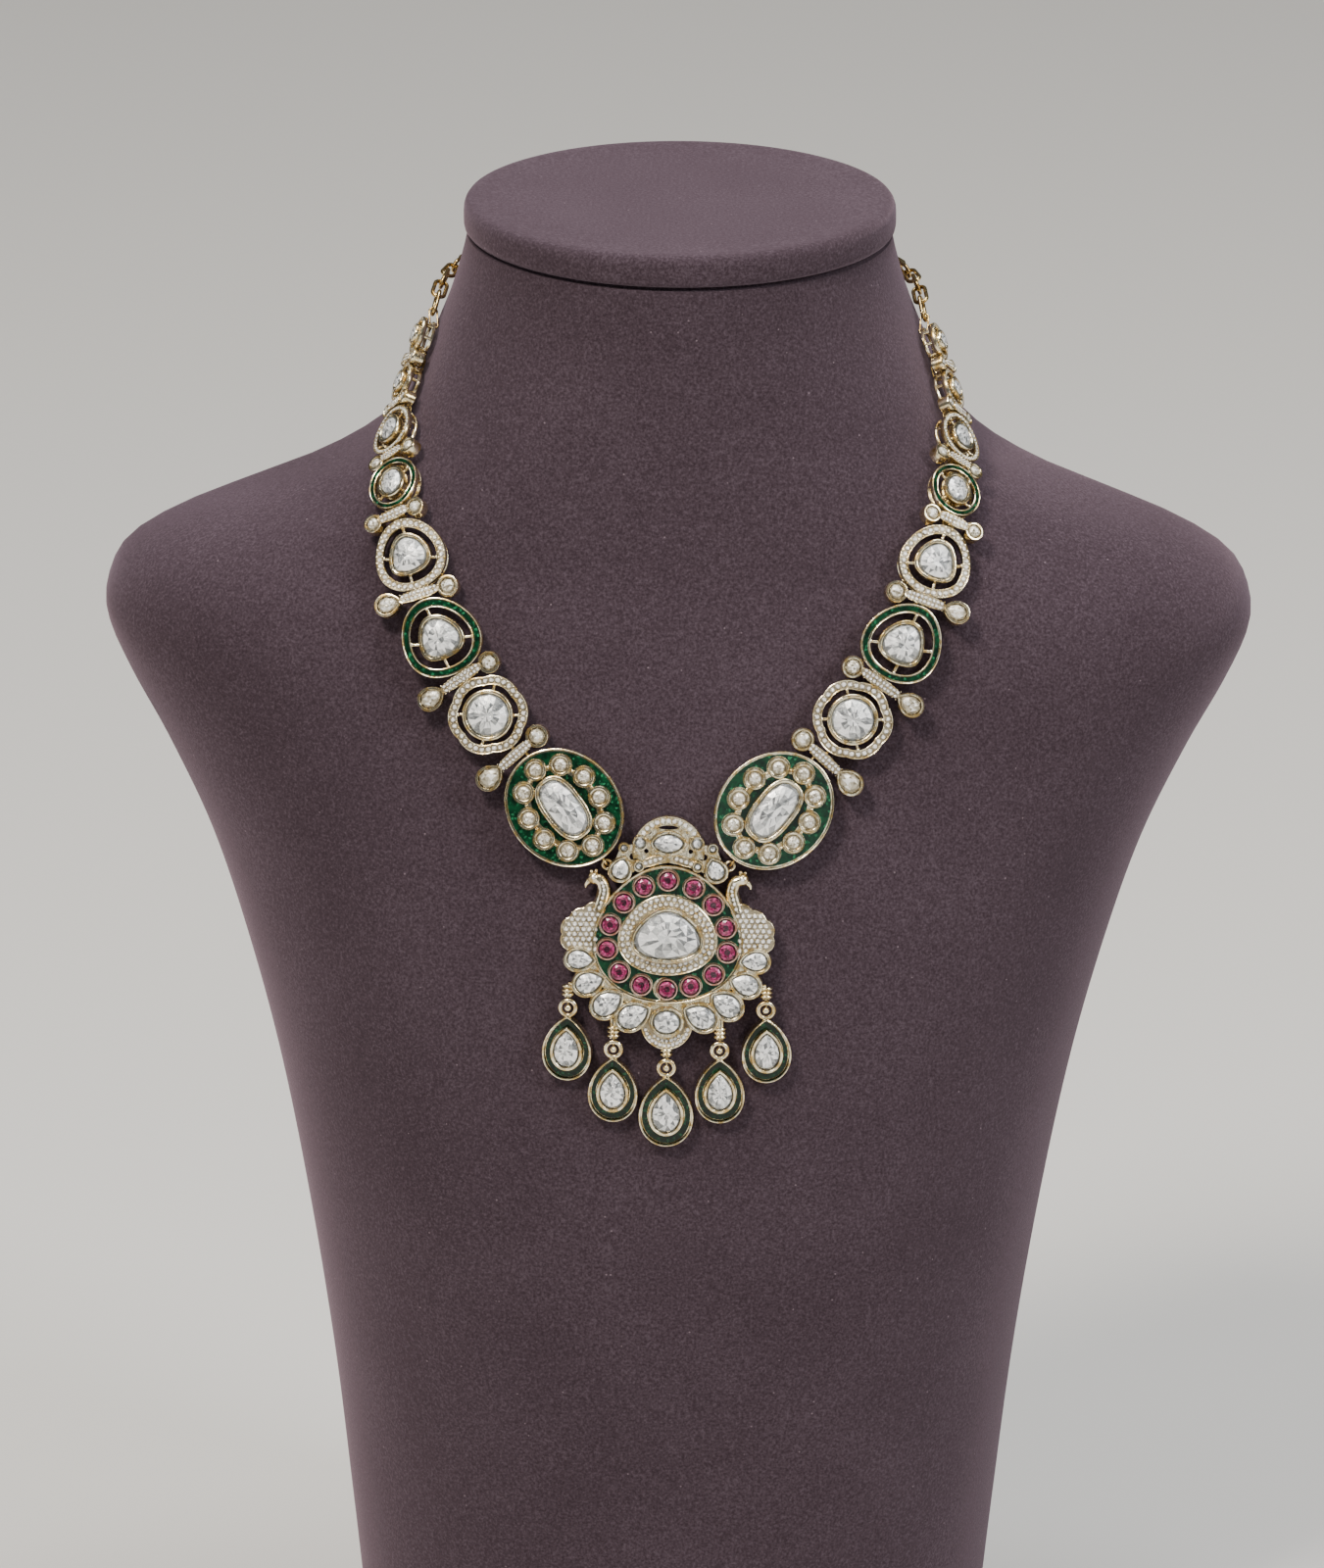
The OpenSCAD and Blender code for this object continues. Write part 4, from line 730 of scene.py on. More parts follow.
def rod(bm, where, p, q, d, n=12):
    p, q = Vector(p), Vector(q)
    v = q - p
    put = where @ Matrix.Translation((p + q) / 2) @ v.to_track_quat("Z", "Y").to_matrix().to_4x4()
    bmesh.ops.create_cone(bm, cap_ends=True, segments=n, radius1=d / 2, radius2=d / 2,
                          depth=v.length, matrix=put)


def spaced(kind, w, l, count, turn=0.0, fine=240):
    """Points at equal lengths along an outline, with the unit vector straight out of it."""
    line = [Vector(p) for p in outline(kind, w, l, fine)]
    sums = [0.0]
    for k in range(fine):
        sums.append(sums[-1] + (line[(k + 1) % fine] - line[k]).length)
    found = []
    for i in range(count):
        s = ((i + turn) % count) * sums[-1] / count
        k = max(j for j in range(fine) if sums[j] <= s)
        a, b = line[k], line[(k + 1) % fine]
        p = a.lerp(b, (s - sums[k]) / (sums[k + 1] - sums[k]))
        out = Vector((b - a)).normalized()
        found.append((p, Vector((out.y, -out.x))))
    return found


def outline_length(kind, w, l, fine=240):
    line = [Vector(p) for p in outline(kind, w, l, fine)]
    return sum((line[(k + 1) % fine] - line[k]).length for k in range(fine))


def pave_ring(metal, stones, where, kind, w, l, inset, z, d, rng, edge=0.5, bead_d=0.42):
    """One row of tiny stones along an outline, with a bead in each corner between them."""
    mid_w, mid_l = w - 2 * inset, l - 2 * inset
    count = round(outline_length(kind, mid_w, mid_l) / (d * 1.1))
    for p, out in spaced(kind, mid_w, mid_l, count):
        tiny_stone(stones, where, p.x, p.y, z + d * 0.1, d, rng)
    for p, out in spaced(kind, mid_w, mid_l, count, 0.5):
        for side in (-1, 1):
            q = p + out * side * edge
            bead(metal, where, q.x, q.y, z + 0.1, bead_d)

# %% [markdown]
# ## The bust
# A neck form for a shop window: a hard shell flocked in velvet, with a padded rim round
# its flat top. It could be sculpted, but its sections are known, so they are swept as
# one closed skin. The rim's roll and the crease under it are rows of the same sweep.

# %% Bust
def build_bust():
    bm = new_bmesh()
    n = 160
    neck_top = 1 - RIM_H / BUST_H
    top = section(neck_top)
    rings = []
    # the foot's rounded edge, then the sections, then the rim's roll and its flat top
    edge = section(0)
    for shrink, z in ((3.0, 0), (1.2, 0.12), (0.35, 0.7)):
        rings.append([ring_point([edge[0] - shrink, edge[1] - shrink, edge[2] - shrink, edge[3]],
                                 k * 360 / n, z) for k in range(n)])
    steps = 110
    for j in range(steps + 1):
        h = 2 / BUST_H + (neck_top - 2.6 / BUST_H) * j / steps
        rings.append([ring_point(section(h), k * 360 / n, h * BUST_H) for k in range(n)])
    z0 = BUST_H - RIM_H
    roll = [(-1.0, -0.35), (-1.25, 0.02), (-0.75, 0.25), (0.25, 0.45), (0.62, 0.95), (0.78, 1.7),
            (0.8, 2.6), (0.8, 3.8), (0.74, 4.8), (0.5, 5.6), (0.1, 6.15), (-0.6, 6.42),
            (-1.8, 6.5), (-3.6, 6.42), (-7, 6.3), (-14, 6.2), (-24, 6.15), (-34, 6.12)]
    for out, z in roll:
        rings.append([ring_point([top[0] + out, top[1] + out, top[2] + out, top[3]],
                                 k * 360 / n, z0 + z) for k in range(n)])
    sweep(bm, rings)
    finish_piece("velvet_bust", bm, [VELVET], ["bust"], crease=60)


build_bust()
print("bust triangles:", triangles["velvet_bust"])

# %% [markdown]
# ## The links
# An open link has a thin rail behind, posts that carry the front band, a closed setting
# in the middle and four spokes. The band holds tiny stones between beads, or green
# enamel between two thin walls. They differ only in outline, so one function builds all.

# %% Parts of an open link
POSTS = [0, 48, 132, 180, 228, 312]
SPOKES = [40, 140, 220, 320]


def gallery(bm, where, L, n):
    kind, w, l, turn = L[:4]
    a, b = RAIL_IN, RAIL_IN + RAIL_W
    rows = [(a + 0.12, RAIL_Z), (a, RAIL_Z + 0.14), (a, RAIL_Z + RAIL_T - 0.14),
            (a + 0.12, RAIL_Z + RAIL_T), (b - 0.12, RAIL_Z + RAIL_T), (b, RAIL_Z + RAIL_T - 0.14),
            (b, RAIL_Z + 0.14), (b - 0.12, RAIL_Z)]
    profile(bm, where, kind, w, l, rows, n, closed=True)
    mid = 2 * RAIL_IN + RAIL_W
    for a in POSTS:
        x, y = outline_point(kind, w - mid, l - mid, a - turn)
        rod(bm, where, (x, y, RAIL_Z + 0.3), (x, y, BAND_Z + 0.3), POST_D)


def band(bm, where, L, n):
    kind, w, l = L[:3]
    b, finish = L[7:9]
    z0, z1 = BAND_Z, BAND_Z + BAND_T
    if finish == "enamel":
        rim = 0.34
        rows = [(0.1, z0), (0, z0 + 0.12), (0, z1 - 0.12), (0.07, z1 + 0.03), (rim / 2, z1 + 0.07),
                (rim - 0.07, z1 + 0.03), (rim, z1 - 0.08), (rim, z1 - ENAMEL_T - CLEAR),
                (b - rim, z1 - ENAMEL_T - CLEAR), (b - rim, z1 - 0.08), (b - rim + 0.07, z1 + 0.03),
                (b - rim / 2, z1 + 0.07), (b - 0.07, z1 + 0.03), (b, z1 - 0.12), (b, z0 + 0.12),
                (b - 0.1, z0)]
        profile(bm, where, kind, w, l, rows, n, closed=True)
    else:
        rows = [(0.1, z0), (0, z0 + 0.14), (0, z1 - 0.16), (0.05, z1), (0.14, z1 + 0.04),
                (0.23, z1), (0.28, z1 - 0.22), (b - 0.28, z1 - 0.22), (b - 0.23, z1),
                (b - 0.14, z1 + 0.04), (b - 0.05, z1), (b, z1 - 0.16), (b, z0 + 0.14),
                (b - 0.1, z0)]
        # the groove's floor between the tiny stones takes the bed painted in shade
        profile(bm, where, kind, w, l, rows, n, closed=True, inked=(6,))


def spokes(bm, where, L):
    kind, w, l = L[:3]
    stone_kind, stone_w, stone_l, b = L[4:8]
    for a in SPOKES:
        p = outline_point(stone_kind, stone_w - WALL, stone_l - WALL, a)
        q = outline_point(kind, w - 2 * b + 0.5, l - 2 * b + 0.5, a)
        z = BAND_Z + 0.4
        rod(bm, where, (p[0], p[1], z), (q[0], q[1], z), SPOKE_D)
        r = outline_point(kind, w - 2 * b - 0.1, l - 2 * b - 0.1, a)
        bead(bm, where, r[0], r[1], z + 0.3, 0.8, 2)

# %% Build the eight links of one side and mirror them
def plate_round(k):
    a = k * 360 / PLATE_ROUNDS
    b = a + 4 * sind(2 * a)
    return ((PLATE_STONE_W / 2 + PLATE_ROUND_D / 2 + 0.8) * sind(b),
            (PLATE_STONE_L / 2 + PLATE_ROUND_D / 2 + 0.15) * cosd(b))


PLATE_LIP = 1.25
PLATE_ROUND_TOP = BAND_Z + BAND_T + 0.5


def build_plate(metal, where, L):
    gallery(metal, where, L, 96)
    floor = BAND_Z + BAND_T - ENAMEL_T - CLEAR
    z1 = BAND_Z + BAND_T
    rows = [(0.1, BAND_Z), (0, BAND_Z + 0.12), (0, z1 - 0.14), (0.06, z1 + 0.05), (0.2, z1 + 0.1),
            (0.34, z1 + 0.05), (0.4, z1 - 0.1), (0.4, floor)]
    profile(metal, where, "oval", PLATE_W, PLATE_L, rows, 96)
    swung = spot_on(where, 0, 0, L[9])
    bezel(metal, swung, "oblong", PLATE_STONE_W, PLATE_STONE_L, BAND_Z, SETTING_TOP + 0.2, 64, 1.3)
    # a sheet of enamel laid in the recessed oval round the centre setting; its darker batch also paints the
    # shade in that recess
    inlay = new_bmesh()
    inner_w, inner_l = PLATE_STONE_W + 3.2, PLATE_STONE_L + 2.4
    low, high = floor + 0.04, z1 - 0.06
    width = 1.55
    profile(inlay, swung, "oval", inner_w, inner_l,
            [(0, low), (0, high - 0.08), (0.08, high), (width - 0.08, high), (width, high - 0.08),
             (width, low)], 72, closed=True)
    both_sides("plate_inlay", inlay, [DARK_ENAMEL], [])
    for k in range(PLATE_ROUNDS):
        x, y = plate_round(k)
        bezel(metal, spot_on(swung, x, y), "round", PLATE_ROUND_D, PLATE_ROUND_D, BAND_Z, PLATE_ROUND_TOP,
              32, PLATE_LIP)
        # a grain of solder holds the setting to its neighbour
        a, b = Vector(plate_round(k)), Vector(plate_round(k + 1))
        mid = (a + b) / 2
        bead(metal, swung, mid.x, mid.y, z1 - 0.05, 0.7, 2)
    return swung


ROUND_CUT = [(1, 0, -0.6), (1, 0, -0.3), (0.76, 0.5, 0.1), (0.42, 0, 0.8)]
LIPS = [1.3, 1.3, 1.25, 1.25, 1.1, 1.1, 0.95, 0.95]
rng = random.Random(7)
for i, L in enumerate(LINKS):
    kind, w, l, turn, stone_kind, stone_w, stone_l, b, finish = L[:9]
    where = spot_on(place(LINK_FRAMES[i]), 0, 0, turn)
    metal, stone, pave = new_bmesh(), new_bmesh(), new_bmesh()
    large = i < 4
    if finish == "plate":
        swung = build_plate(metal, where, L)
        cut_stone(stone, swung, stone_kind, stone_w, stone_l, SETTING_TOP + 0.2, 18, rng, lip=LIPS[i])
        rounds = new_bmesh()
        for k in range(PLATE_ROUNDS):
            x, y = plate_round(k)
            cut_stone(rounds, spot_on(swung, x, y), "round", PLATE_ROUND_D, PLATE_ROUND_D,
                      PLATE_ROUND_TOP, 14, rng, ROUND_CUT, lip=PLATE_LIP)
        both_sides("plate_rounds", rounds, [WARM_STONE], ["plate_stones"], 0)
    else:
        n = 96 if large else 72
        gallery(metal, where, L, n)
        band(metal, where, L, n)
        spokes(metal, where, L)
        set_stone(metal, stone, where, stone_kind, stone_w, stone_l, BAND_Z - 0.2, SETTING_TOP, 56,
                  LIPS[i], 20 if large else 16, rng)
        if finish == "stones":
            pave_ring(metal, pave, where, kind, w, l, b / 2, BAND_Z + BAND_T - 0.2, min(1.12, b * 0.6),
                      rng, edge=b / 2 - 0.34, bead_d=0.42 if large else 0.32)
            both_sides(LINK_NAMES[i] + "_pave", pave, [SMALL_STONE], [], 0)
    both_sides(LINK_NAMES[i] + "_metal", metal, [GOLD, SHADED_BED], [LINK_NAMES[i]])
    both_sides(LINK_NAMES[i] + "_gem", stone, [CLEAR_STONE], [LINK_NAMES[i] + "_stone"], 0)
print("links:", sum(v for k, v in triangles.items() if "link" in k or "plate" in k), "triangles")

# %% [markdown]
# ## The spacers
# Between two links lies a short bar crusted with tiny stones, with a round setting on its
# inner end and a pear or a round on the outer one. It stands on three little legs on the
# rod that the joining rings hold.

# %% Spacers
LEG_D = 0.6
SPACER_LOW = 1.3
SPACER_TOP = BAND_Z + BAND_T + 0.2


def build_spacers():
    metal, gems, pave = new_bmesh(), new_bmesh(), new_bmesh()
    rng = random.Random(21)
    for i, S in enumerate(SPACERS):
        inner_x, outer_x, inner_d, outer_w, outer_kind = S[:5]
        inner_y = S[7]
        where = place(SPACER_FRAMES[i])
        pear = outer_kind == "pear"
        end = outer_x - (outer_w * 0.55 if pear else outer_w * 0.4)
        start = inner_x + inner_d * 0.4
        # the crust: a narrow bar that widens above the links beside it
        width = 2.2 if i < 4 else 1.8
        z1 = BAND_Z + BAND_T + 0.34
        slim = (width - BAR_W) / 2
        rows = [(slim + 0.1, BAND_Z), (slim, BAND_Z + 0.12), (slim, z1 - 0.24), (0.04, z1 - 0.2),
                (0, z1 - 0.1), (0.08, z1 + 0.02), (0.18, z1), (0.22, z1 - 0.12)]
        middle = spot_on(where, (start + end) / 2, 0)
        length = end - start + 0.5
        # the crust's top, between its tiny stones, takes the bed painted in shade
        profile(metal, middle, "oblong", length, width, rows, 36, inked=(7,))
        inner = spot_on(where, inner_x, inner_y)
        outer = spot_on(where, outer_x, 0, 90 if pear else 0)
        lip = 1.1 if inner_d > 4 else 0.9
        outer_l = outer_w * (1.22 if pear else 1)
        for spot, kind, w, l, n, facets in ((inner, "round", inner_d, inner_d, 32, 8),
                                            (outer, outer_kind, outer_w, outer_l, 40, 9)):
            set_stone(metal, gems, spot, kind, w, l, SPACER_LOW, SPACER_TOP, n, lip, facets, rng, ROUND_CUT)
        d = width * 0.37
        pitch = d * 1.02
        count = max(2, int((length - 0.5) / pitch))
        for k in range(count):
            x = (k - (count - 1) / 2) * pitch
            for y in (-0.5, 0.5):
                tiny_stone(pave, middle, x, y * d * 1.04, z1 - 0.02, d, rng)
                bead(metal, middle, x + d / 2, y * (width - 0.42), z1 + 0.03, 0.3)
            bead(metal, middle, x + d / 2, 0, z1 + 0.06, 0.3)
        half = JOINT_X + 0.8
        for x in (-half, 0, half):
            rod(metal, where, (x, 0, JOINT_Z), (x, 0, BAND_Z + 0.2), LEG_D)
        rod(metal, where, (-half - 0.2, 0, JOINT_Z), (half + 0.2, 0, JOINT_Z), LEG_D, 16)
    both_sides("spacer_metal", metal, [GOLD, SHADED_BED], ["spacers"])
    both_sides("spacer_gems", gems, [WARM_STONE], ["spacer_stones"], 0)
    both_sides("spacer_pave", pave, [SMALL_STONE], [], 0)


build_spacers()
print("spacers:", sum(v for k, v in triangles.items() if "spacer" in k), "triangles")

# %% [markdown]
# ## The pendant
# A green disc ringed with rubies, a halo of tiny stones round the centre, petals under
# it, a crown above and a small peacock at each side. Everything is set on one frame, so
# the metal is one piece and the stones are fields on it.

# %% Sizes of the pendant
PEND_Z = 0.6
PEND_T = 1.3
PEND_TOP = PEND_Z + PEND_T
RIM_TOP = PEND_TOP + 0.9
SMALL_TOP = PEND_TOP + 1.2
CENTRE_TOP = PEND_TOP + 2.6
HALO_W, HALO_L = 19.2, 15.8
CENTRE_W, CENTRE_L = 14.5, 11
RUBY_D = 4.3
RUBY_N = 14
CROWN_W = 14
SHOULDER_AT = (9.2, 12.7)
SHOULDER_PEAR_W, SHOULDER_PEAR_L = 4.8, 5.4
# Middle, width, length and turn of each petal on the right
PETALS = [[6.5, -15.9, 6.1, 7.8, 64], [11.5, -13.5, 6.0, 7.6, 56],
          [15.1, -9.5, 5.6, 7.0, 72], [16.9, -5.0, 5.2, 6.6, 93]]
PETALS_UP_TO = -3.6
RUBY_CUT = [(1, 0, -0.7), (1, 0, -0.3), (0.9, 0.5, 0.1), (0.62, 0, 0.75), (0.36, 0.5, 0.4)]
CROWN_CUT = [(1, 0, -0.6), (1, 0, -0.3), (0.66, 0.5, 0.6)]
FOOT_AT = (0, -17.0)
FOOT_W, FOOT_L = 6.8, 6.1
FOOT_BAND = 1.95
ARCH_AT = (0, 16.15)
ARCH_BAND = 1.85
NAVETTE_AT = (0, 17.8)
NAVETTE_W, NAVETTE_L = 7.3, 5.0
# Middle and width of the crown's small rounds
ROUNDS = [[5.5, 17.8, 3.1], [8.6, 16.8, 2.3], [5.7, 13.3, 2.3]]
WING_AT = (17.0, 0.4)
WING_IN = 0.7  # how far inside the disc's edge the wing ends
# Middle and width of each lobe of the wing
WING = [[16.5, 2.4, 5.4], [18.5, 1.0, 4.6], [18.7, -1.2, 4.2], [17.4, -2.5, 3.8], [17.0, 0.0, 6.2],
        [14.4, 4.2, 4.0], [15.0, -2.2, 4.0], [14.6, 1.0, 3.0]]
NECK_LINE = [(13.5, 4.4), (12.8, 6.6), (12.4, 8.6), (13.0, 10.2), (14.4, 10.8)]
HEAD_AT = (14.4, 10.8)
# Where the pins of the drops are, from the middle out, and where the straps to them start
PINS = [[0, -26.1], [10.3, -22.6], [19.2, -14.6]]
HANGS = [[0, -19.6], [10.3, -16.6], [17.3, -10.5]]
DROP_W, DROP_L, DROP_SHARE = 10.7, 14.4, 0.91
DROP_LOOP_D, DROP_WIRE = 3.9, 0.9
LOOP_R = (DROP_LOOP_D - DROP_WIRE) / 2


def ruby_places():
    inner = RUBY_D / 2 + 0.75
    fine = 180
    line = [Vector(p) for p in outline("pick", DISC_W - 2 * inner, DISC_L - 2 * inner, fine, fine / 4)]
    sums = [0.0]
    for k in range(fine):
        sums.append(sums[-1] + (line[(k + 1) % fine] - line[k]).length)
    return [line[max(k for k in range(fine) if sums[k] <= i * sums[-1] / RUBY_N)] for i in range(RUBY_N)]

# %% Metal of the pendant
def swept_tube(bm, where, points, radii, n=14):
    """A tube along points of one plane, closed at both ends by small caps."""
    rings = []
    for k, (p, r) in enumerate(zip(points, radii)):
        a, b = points[max(0, k - 1)], points[min(len(points) - 1, k + 1)]
        along = (b - a).normalized()
        side = along.cross(Vector((0, 0, 1)))
        rings.append([where @ (p + (side * cosd(j * 360 / n) + Vector((0, 0, 1)) * sind(j * 360 / n)) * r)
                      for j in range(n)])
    sweep(bm, rings)


def torus(bm, where, r, wire, around=32, thick=12):
    put = Matrix.Translation((r, 0, 0)) @ Matrix.Rotation(math.radians(90), 4, "X")
    ring = bmesh.ops.create_circle(bm, segments=thick, radius=wire / 2, matrix=put)["verts"]
    edges = list(dict.fromkeys(e for v in ring for e in v.link_edges))
    bmesh.ops.spin(bm, geom=ring + edges, angle=math.radians(360), steps=around,
                   axis=(0, 0, 1), cent=(0, 0, 0), use_merge=True)
    made = set(ring)
    grow = list(ring)
    while grow:
        v = grow.pop()
        for e in v.link_edges:
            o = e.other_vert(v)
            if o not in made:
                made.add(o)
                grow.append(o)
    bmesh.ops.transform(bm, matrix=where, verts=list(made))


def pierced_plate(bm, where, outer, holes, z0, z1):
    """A flat plate with holes sawn through it: the loops are filled, then extruded."""
    edges = []
    for loop in [outer] + holes:
        verts = [bm.verts.new(where @ Vector((x, y, z0))) for x, y in loop]
        edges += [bm.edges.new((verts[k], verts[(k + 1) % len(verts)])) for k in range(len(verts))]
    filled = bmesh.ops.triangle_fill(bm, edges=edges, use_beauty=True)["geom"]
    faces = [f for f in filled if isinstance(f, bmesh.types.BMFace)]
    raised = bmesh.ops.extrude_face_region(bm, geom=faces, use_keep_orig=True)["geom"]
    up = (where.to_3x3() @ Vector((0, 0, 1))).normalized() * (z1 - z0)
    bmesh.ops.translate(bm, vec=up, verts=[v for v in raised if isinstance(v, bmesh.types.BMVert)])


def hanger(bm, where, pin, top):
    z = PEND_Z + PEND_T / 2
    px, py = pin
    foot = py + LOOP_R + DROP_WIRE / 2 + 0.2
    arm = -DROP_WIRE / 2 - CLEAR - 0.35
    rod(bm, where, (top[0], top[1], z), (px, foot + 2.2, z), 1.6, 16)
    rib = [(0.35, 0), (0.07, 0.1), (0, 0.28), (0.07, 0.48), (0.35, 0.6)]
    upright = Matrix.Rotation(math.radians(-90), 4, "X")
    for r in range(3):
        rib_at = where @ Matrix.Translation((px, foot + 0.25 + r * 0.8, z)) @ upright
        profile(bm, rib_at, "round", 2.6, 2.4, rib, 24)
    rod(bm, where, (px, foot, z), (px, foot + 2.4, z), 1.7, 16)
    rod(bm, where, (px, foot + 0.5, z + arm), (px, py, z + arm), 0.5)
    rod(bm, where, (px, py, z + arm - 0.25), (px, py, z + 0.3), 0.5)
    bead(bm, where, px, py, z + 0.4, 1.3, 3)


def arc_rows(metal, pave, where, r, a0, a1, n, z, d, rng, edge):
    """A row of tiny stones on an arc, with beads on both sides of it."""
    for k in range(n):
        a = a0 + k * (a1 - a0) / (n - 1)
        tiny_stone(pave, where, r * cosd(a), r * sind(a), z + d * 0.1, d, rng)
        b = a + (a1 - a0) / (n - 1) / 2
        for q in (r - edge, r + edge):
            bead(metal, where, q * cosd(b), q * sind(b), z + 0.1, 0.36)


def build_pendant():
    rng = random.Random(5)
    where = place(PENDANT)
    metal, pave, rubies, petals, crown, centre = (new_bmesh() for _ in range(6))
    disc_rows = [(0.15, PEND_Z), (0, PEND_Z + 0.15), (0, RIM_TOP - 0.12), (0.08, RIM_TOP + 0.02),
                 (0.22, RIM_TOP + 0.06), (0.36, RIM_TOP), (0.42, RIM_TOP - 0.12), (0.42, PEND_TOP)]
    profile(metal, where, "pick", DISC_W, DISC_L, disc_rows, 128)
    # halo: a raised block, crusted, round the centre setting
    bed = SMALL_TOP - 0.22
    halo_rows = [(0.05, PEND_Z + 0.2), (0, PEND_TOP), (0, SMALL_TOP - 0.2), (0.05, SMALL_TOP - 0.02),
                 (0.14, SMALL_TOP + 0.03), (0.22, SMALL_TOP - 0.02), (0.27, bed), (3.6, bed)]
    # its bed between the tiny stones takes the bed painted in shade
    profile(metal, where, "pick", HALO_W, HALO_L, halo_rows, 112, inked=(6, 7), ink=2)
    pave_ring(metal, pave, where, "pick", HALO_W, HALO_L, 0.86, bed + 0.02, 1.06, rng, 0.52, 0.38)
    pave_ring(metal, pave, where, "pick", HALO_W, HALO_L, 1.9, bed + 0.02, 0.98, rng, 0.5, 0.36)
    set_stone(metal, centre, where, "trine", CENTRE_W, CENTRE_L, PEND_TOP - FLOOR_T, CENTRE_TOP, 72,
              1.25, 18, rng)
    # each ruby's table gets dark tones, a painted shade in its core, and its crown lighter tones of painted
    # reflection
    for p in ruby_places():
        set_stone(metal, rubies, spot_on(where, p.x, p.y), "round", RUBY_D, RUBY_D,
                  PEND_TOP - FLOOR_T, SMALL_TOP, 32, 0.7, 11, rng, RUBY_CUT, ink=1,
                  tones=(0.25, 0.4, 0.55, 0.7), table_tones=(0.0, 0.05, 0.15))
    # petals, with the scalloped plate behind them
    for side in (1, -1):
        for x, y, w, l, turn in PETALS:
            set_stone(metal, petals, spot_on(where, x * side, y, turn * side), "pear", w, l,
                      PEND_Z, SMALL_TOP, 44, 1.2, 14, rng)
    ring = [p for p in outline("pick", DISC_W + 2.6, DISC_L + 2.6, 120) if p[1] < PETALS_UP_TO]
    ring += [p for p in reversed(outline("pick", DISC_W - 0.4, DISC_L - 0.4, 120)) if p[1] < PETALS_UP_TO]
    low = [where @ Vector((x, y, PEND_Z)) for x, y in ring]
    high = [where @ Vector((x, y, PEND_TOP + 0.35)) for x, y in ring]
    sweep(metal, [low, high])
    # foot: a round setting in a crusted crescent
    foot = spot_on(where, FOOT_AT[0], FOOT_AT[1] - 0.4)
    crescent_w = 6.2 + 2 * FOOT_BAND
    crescent_bed = PEND_TOP + 0.2
    # the crescent's bed between its tiny stones takes the bed painted in shade
    profile(metal, foot, "round", crescent_w, crescent_w,
            [(0.1, PEND_Z), (0, PEND_Z + 0.12), (0, crescent_bed), (0.06, crescent_bed + 0.2),
             (0.16, crescent_bed + 0.24), (0.24, crescent_bed + 0.18), (0.28, crescent_bed)], 64,
            inked=(6,), ink=2)
    set_stone(metal, petals, spot_on(where, *FOOT_AT), "oval", FOOT_W, FOOT_L, PEND_Z, SMALL_TOP + 0.4,
              48, 1.2, 12, rng)
    arc_rows(metal, pave, foot, crescent_w / 2 - 0.78, 196, 344, 14, crescent_bed, 0.98, rng, 0.47)
    arc_rows(metal, pave, foot, crescent_w / 2 - 1.7, 226, 314, 7, crescent_bed, 0.92, rng, 0.4)
    # crown: a crusted arch over a navette, on a pierced plate
    arch = spot_on(where, *ARCH_AT)
    steps = 48
    half = CROWN_W / 2
    top = PEND_TOP + 0.75
    cut = [(0, PEND_Z), (0, top - 0.15), (0.06, top), (0.15, top + 0.03), (0.24, top), (0.28, top - 0.2),
           (ARCH_BAND - 0.28, top - 0.2), (ARCH_BAND - 0.24, top), (ARCH_BAND - 0.15, top + 0.03),
           (ARCH_BAND - 0.06, top), (ARCH_BAND, top - 0.15), (ARCH_BAND, PEND_Z)]
    rings = []
    for k in range(steps + 1):
        a = -12 + k * 204 / steps
        rings.append([arch @ Vector(((half - inset) * cosd(a), (half - inset) * sind(a), z))
                      for inset, z in cut])
    sweep(metal, rings)
    arc_rows(metal, pave, arch, half - ARCH_BAND / 2, 4, 176, 17, top - 0.2, 1.12, rng, 0.56)
    set_stone(metal, crown, spot_on(where, *NAVETTE_AT), "navette", NAVETTE_W, NAVETTE_L,
              PEND_Z, SMALL_TOP + 0.1, 56, 1.1, 12, rng)
    for side in (1, -1):
        spot = spot_on(where, SHOULDER_AT[0] * side, SHOULDER_AT[1], 20 * side)
        set_stone(metal, crown, spot, "pear", SHOULDER_PEAR_W, SHOULDER_PEAR_L,
                  PEND_Z, SMALL_TOP + 0.2, 44, 1.1, 9, rng)
        for x, y, d in ROUNDS:
            set_stone(metal, crown, spot_on(where, x * side, y), "round", d, d,
                      PEND_Z + 0.5, SMALL_TOP - 0.1, 28, 0.8, 8, rng, CROWN_CUT)
        leaf = spot_on(where, 3.0 * side, 14.3, -18 * side)
        # the leaf's bed between its tiny stones takes the bed painted in shade
        profile(metal, leaf, "oval", 4.9, 1.9,
                [(0.1, PEND_Z), (0, PEND_Z + 0.15), (0, PEND_TOP + 0.5), (0.06, PEND_TOP + 0.62),
                 (0.14, PEND_TOP + 0.66), (0.22, PEND_TOP + 0.6), (0.26, PEND_TOP + 0.46)], 28,
                inked=(6,), ink=2)
        for x in (-1.5, -0.5, 0.5, 1.5):
            tiny_stone(pave, leaf, x, 0, PEND_TOP + 0.56, 0.95, rng)
        torus(metal, where @ Matrix.Translation((EYE_AT[0] * side, EYE_AT[1], JOINT_Z)), 0.85, 0.6, 32, 12)
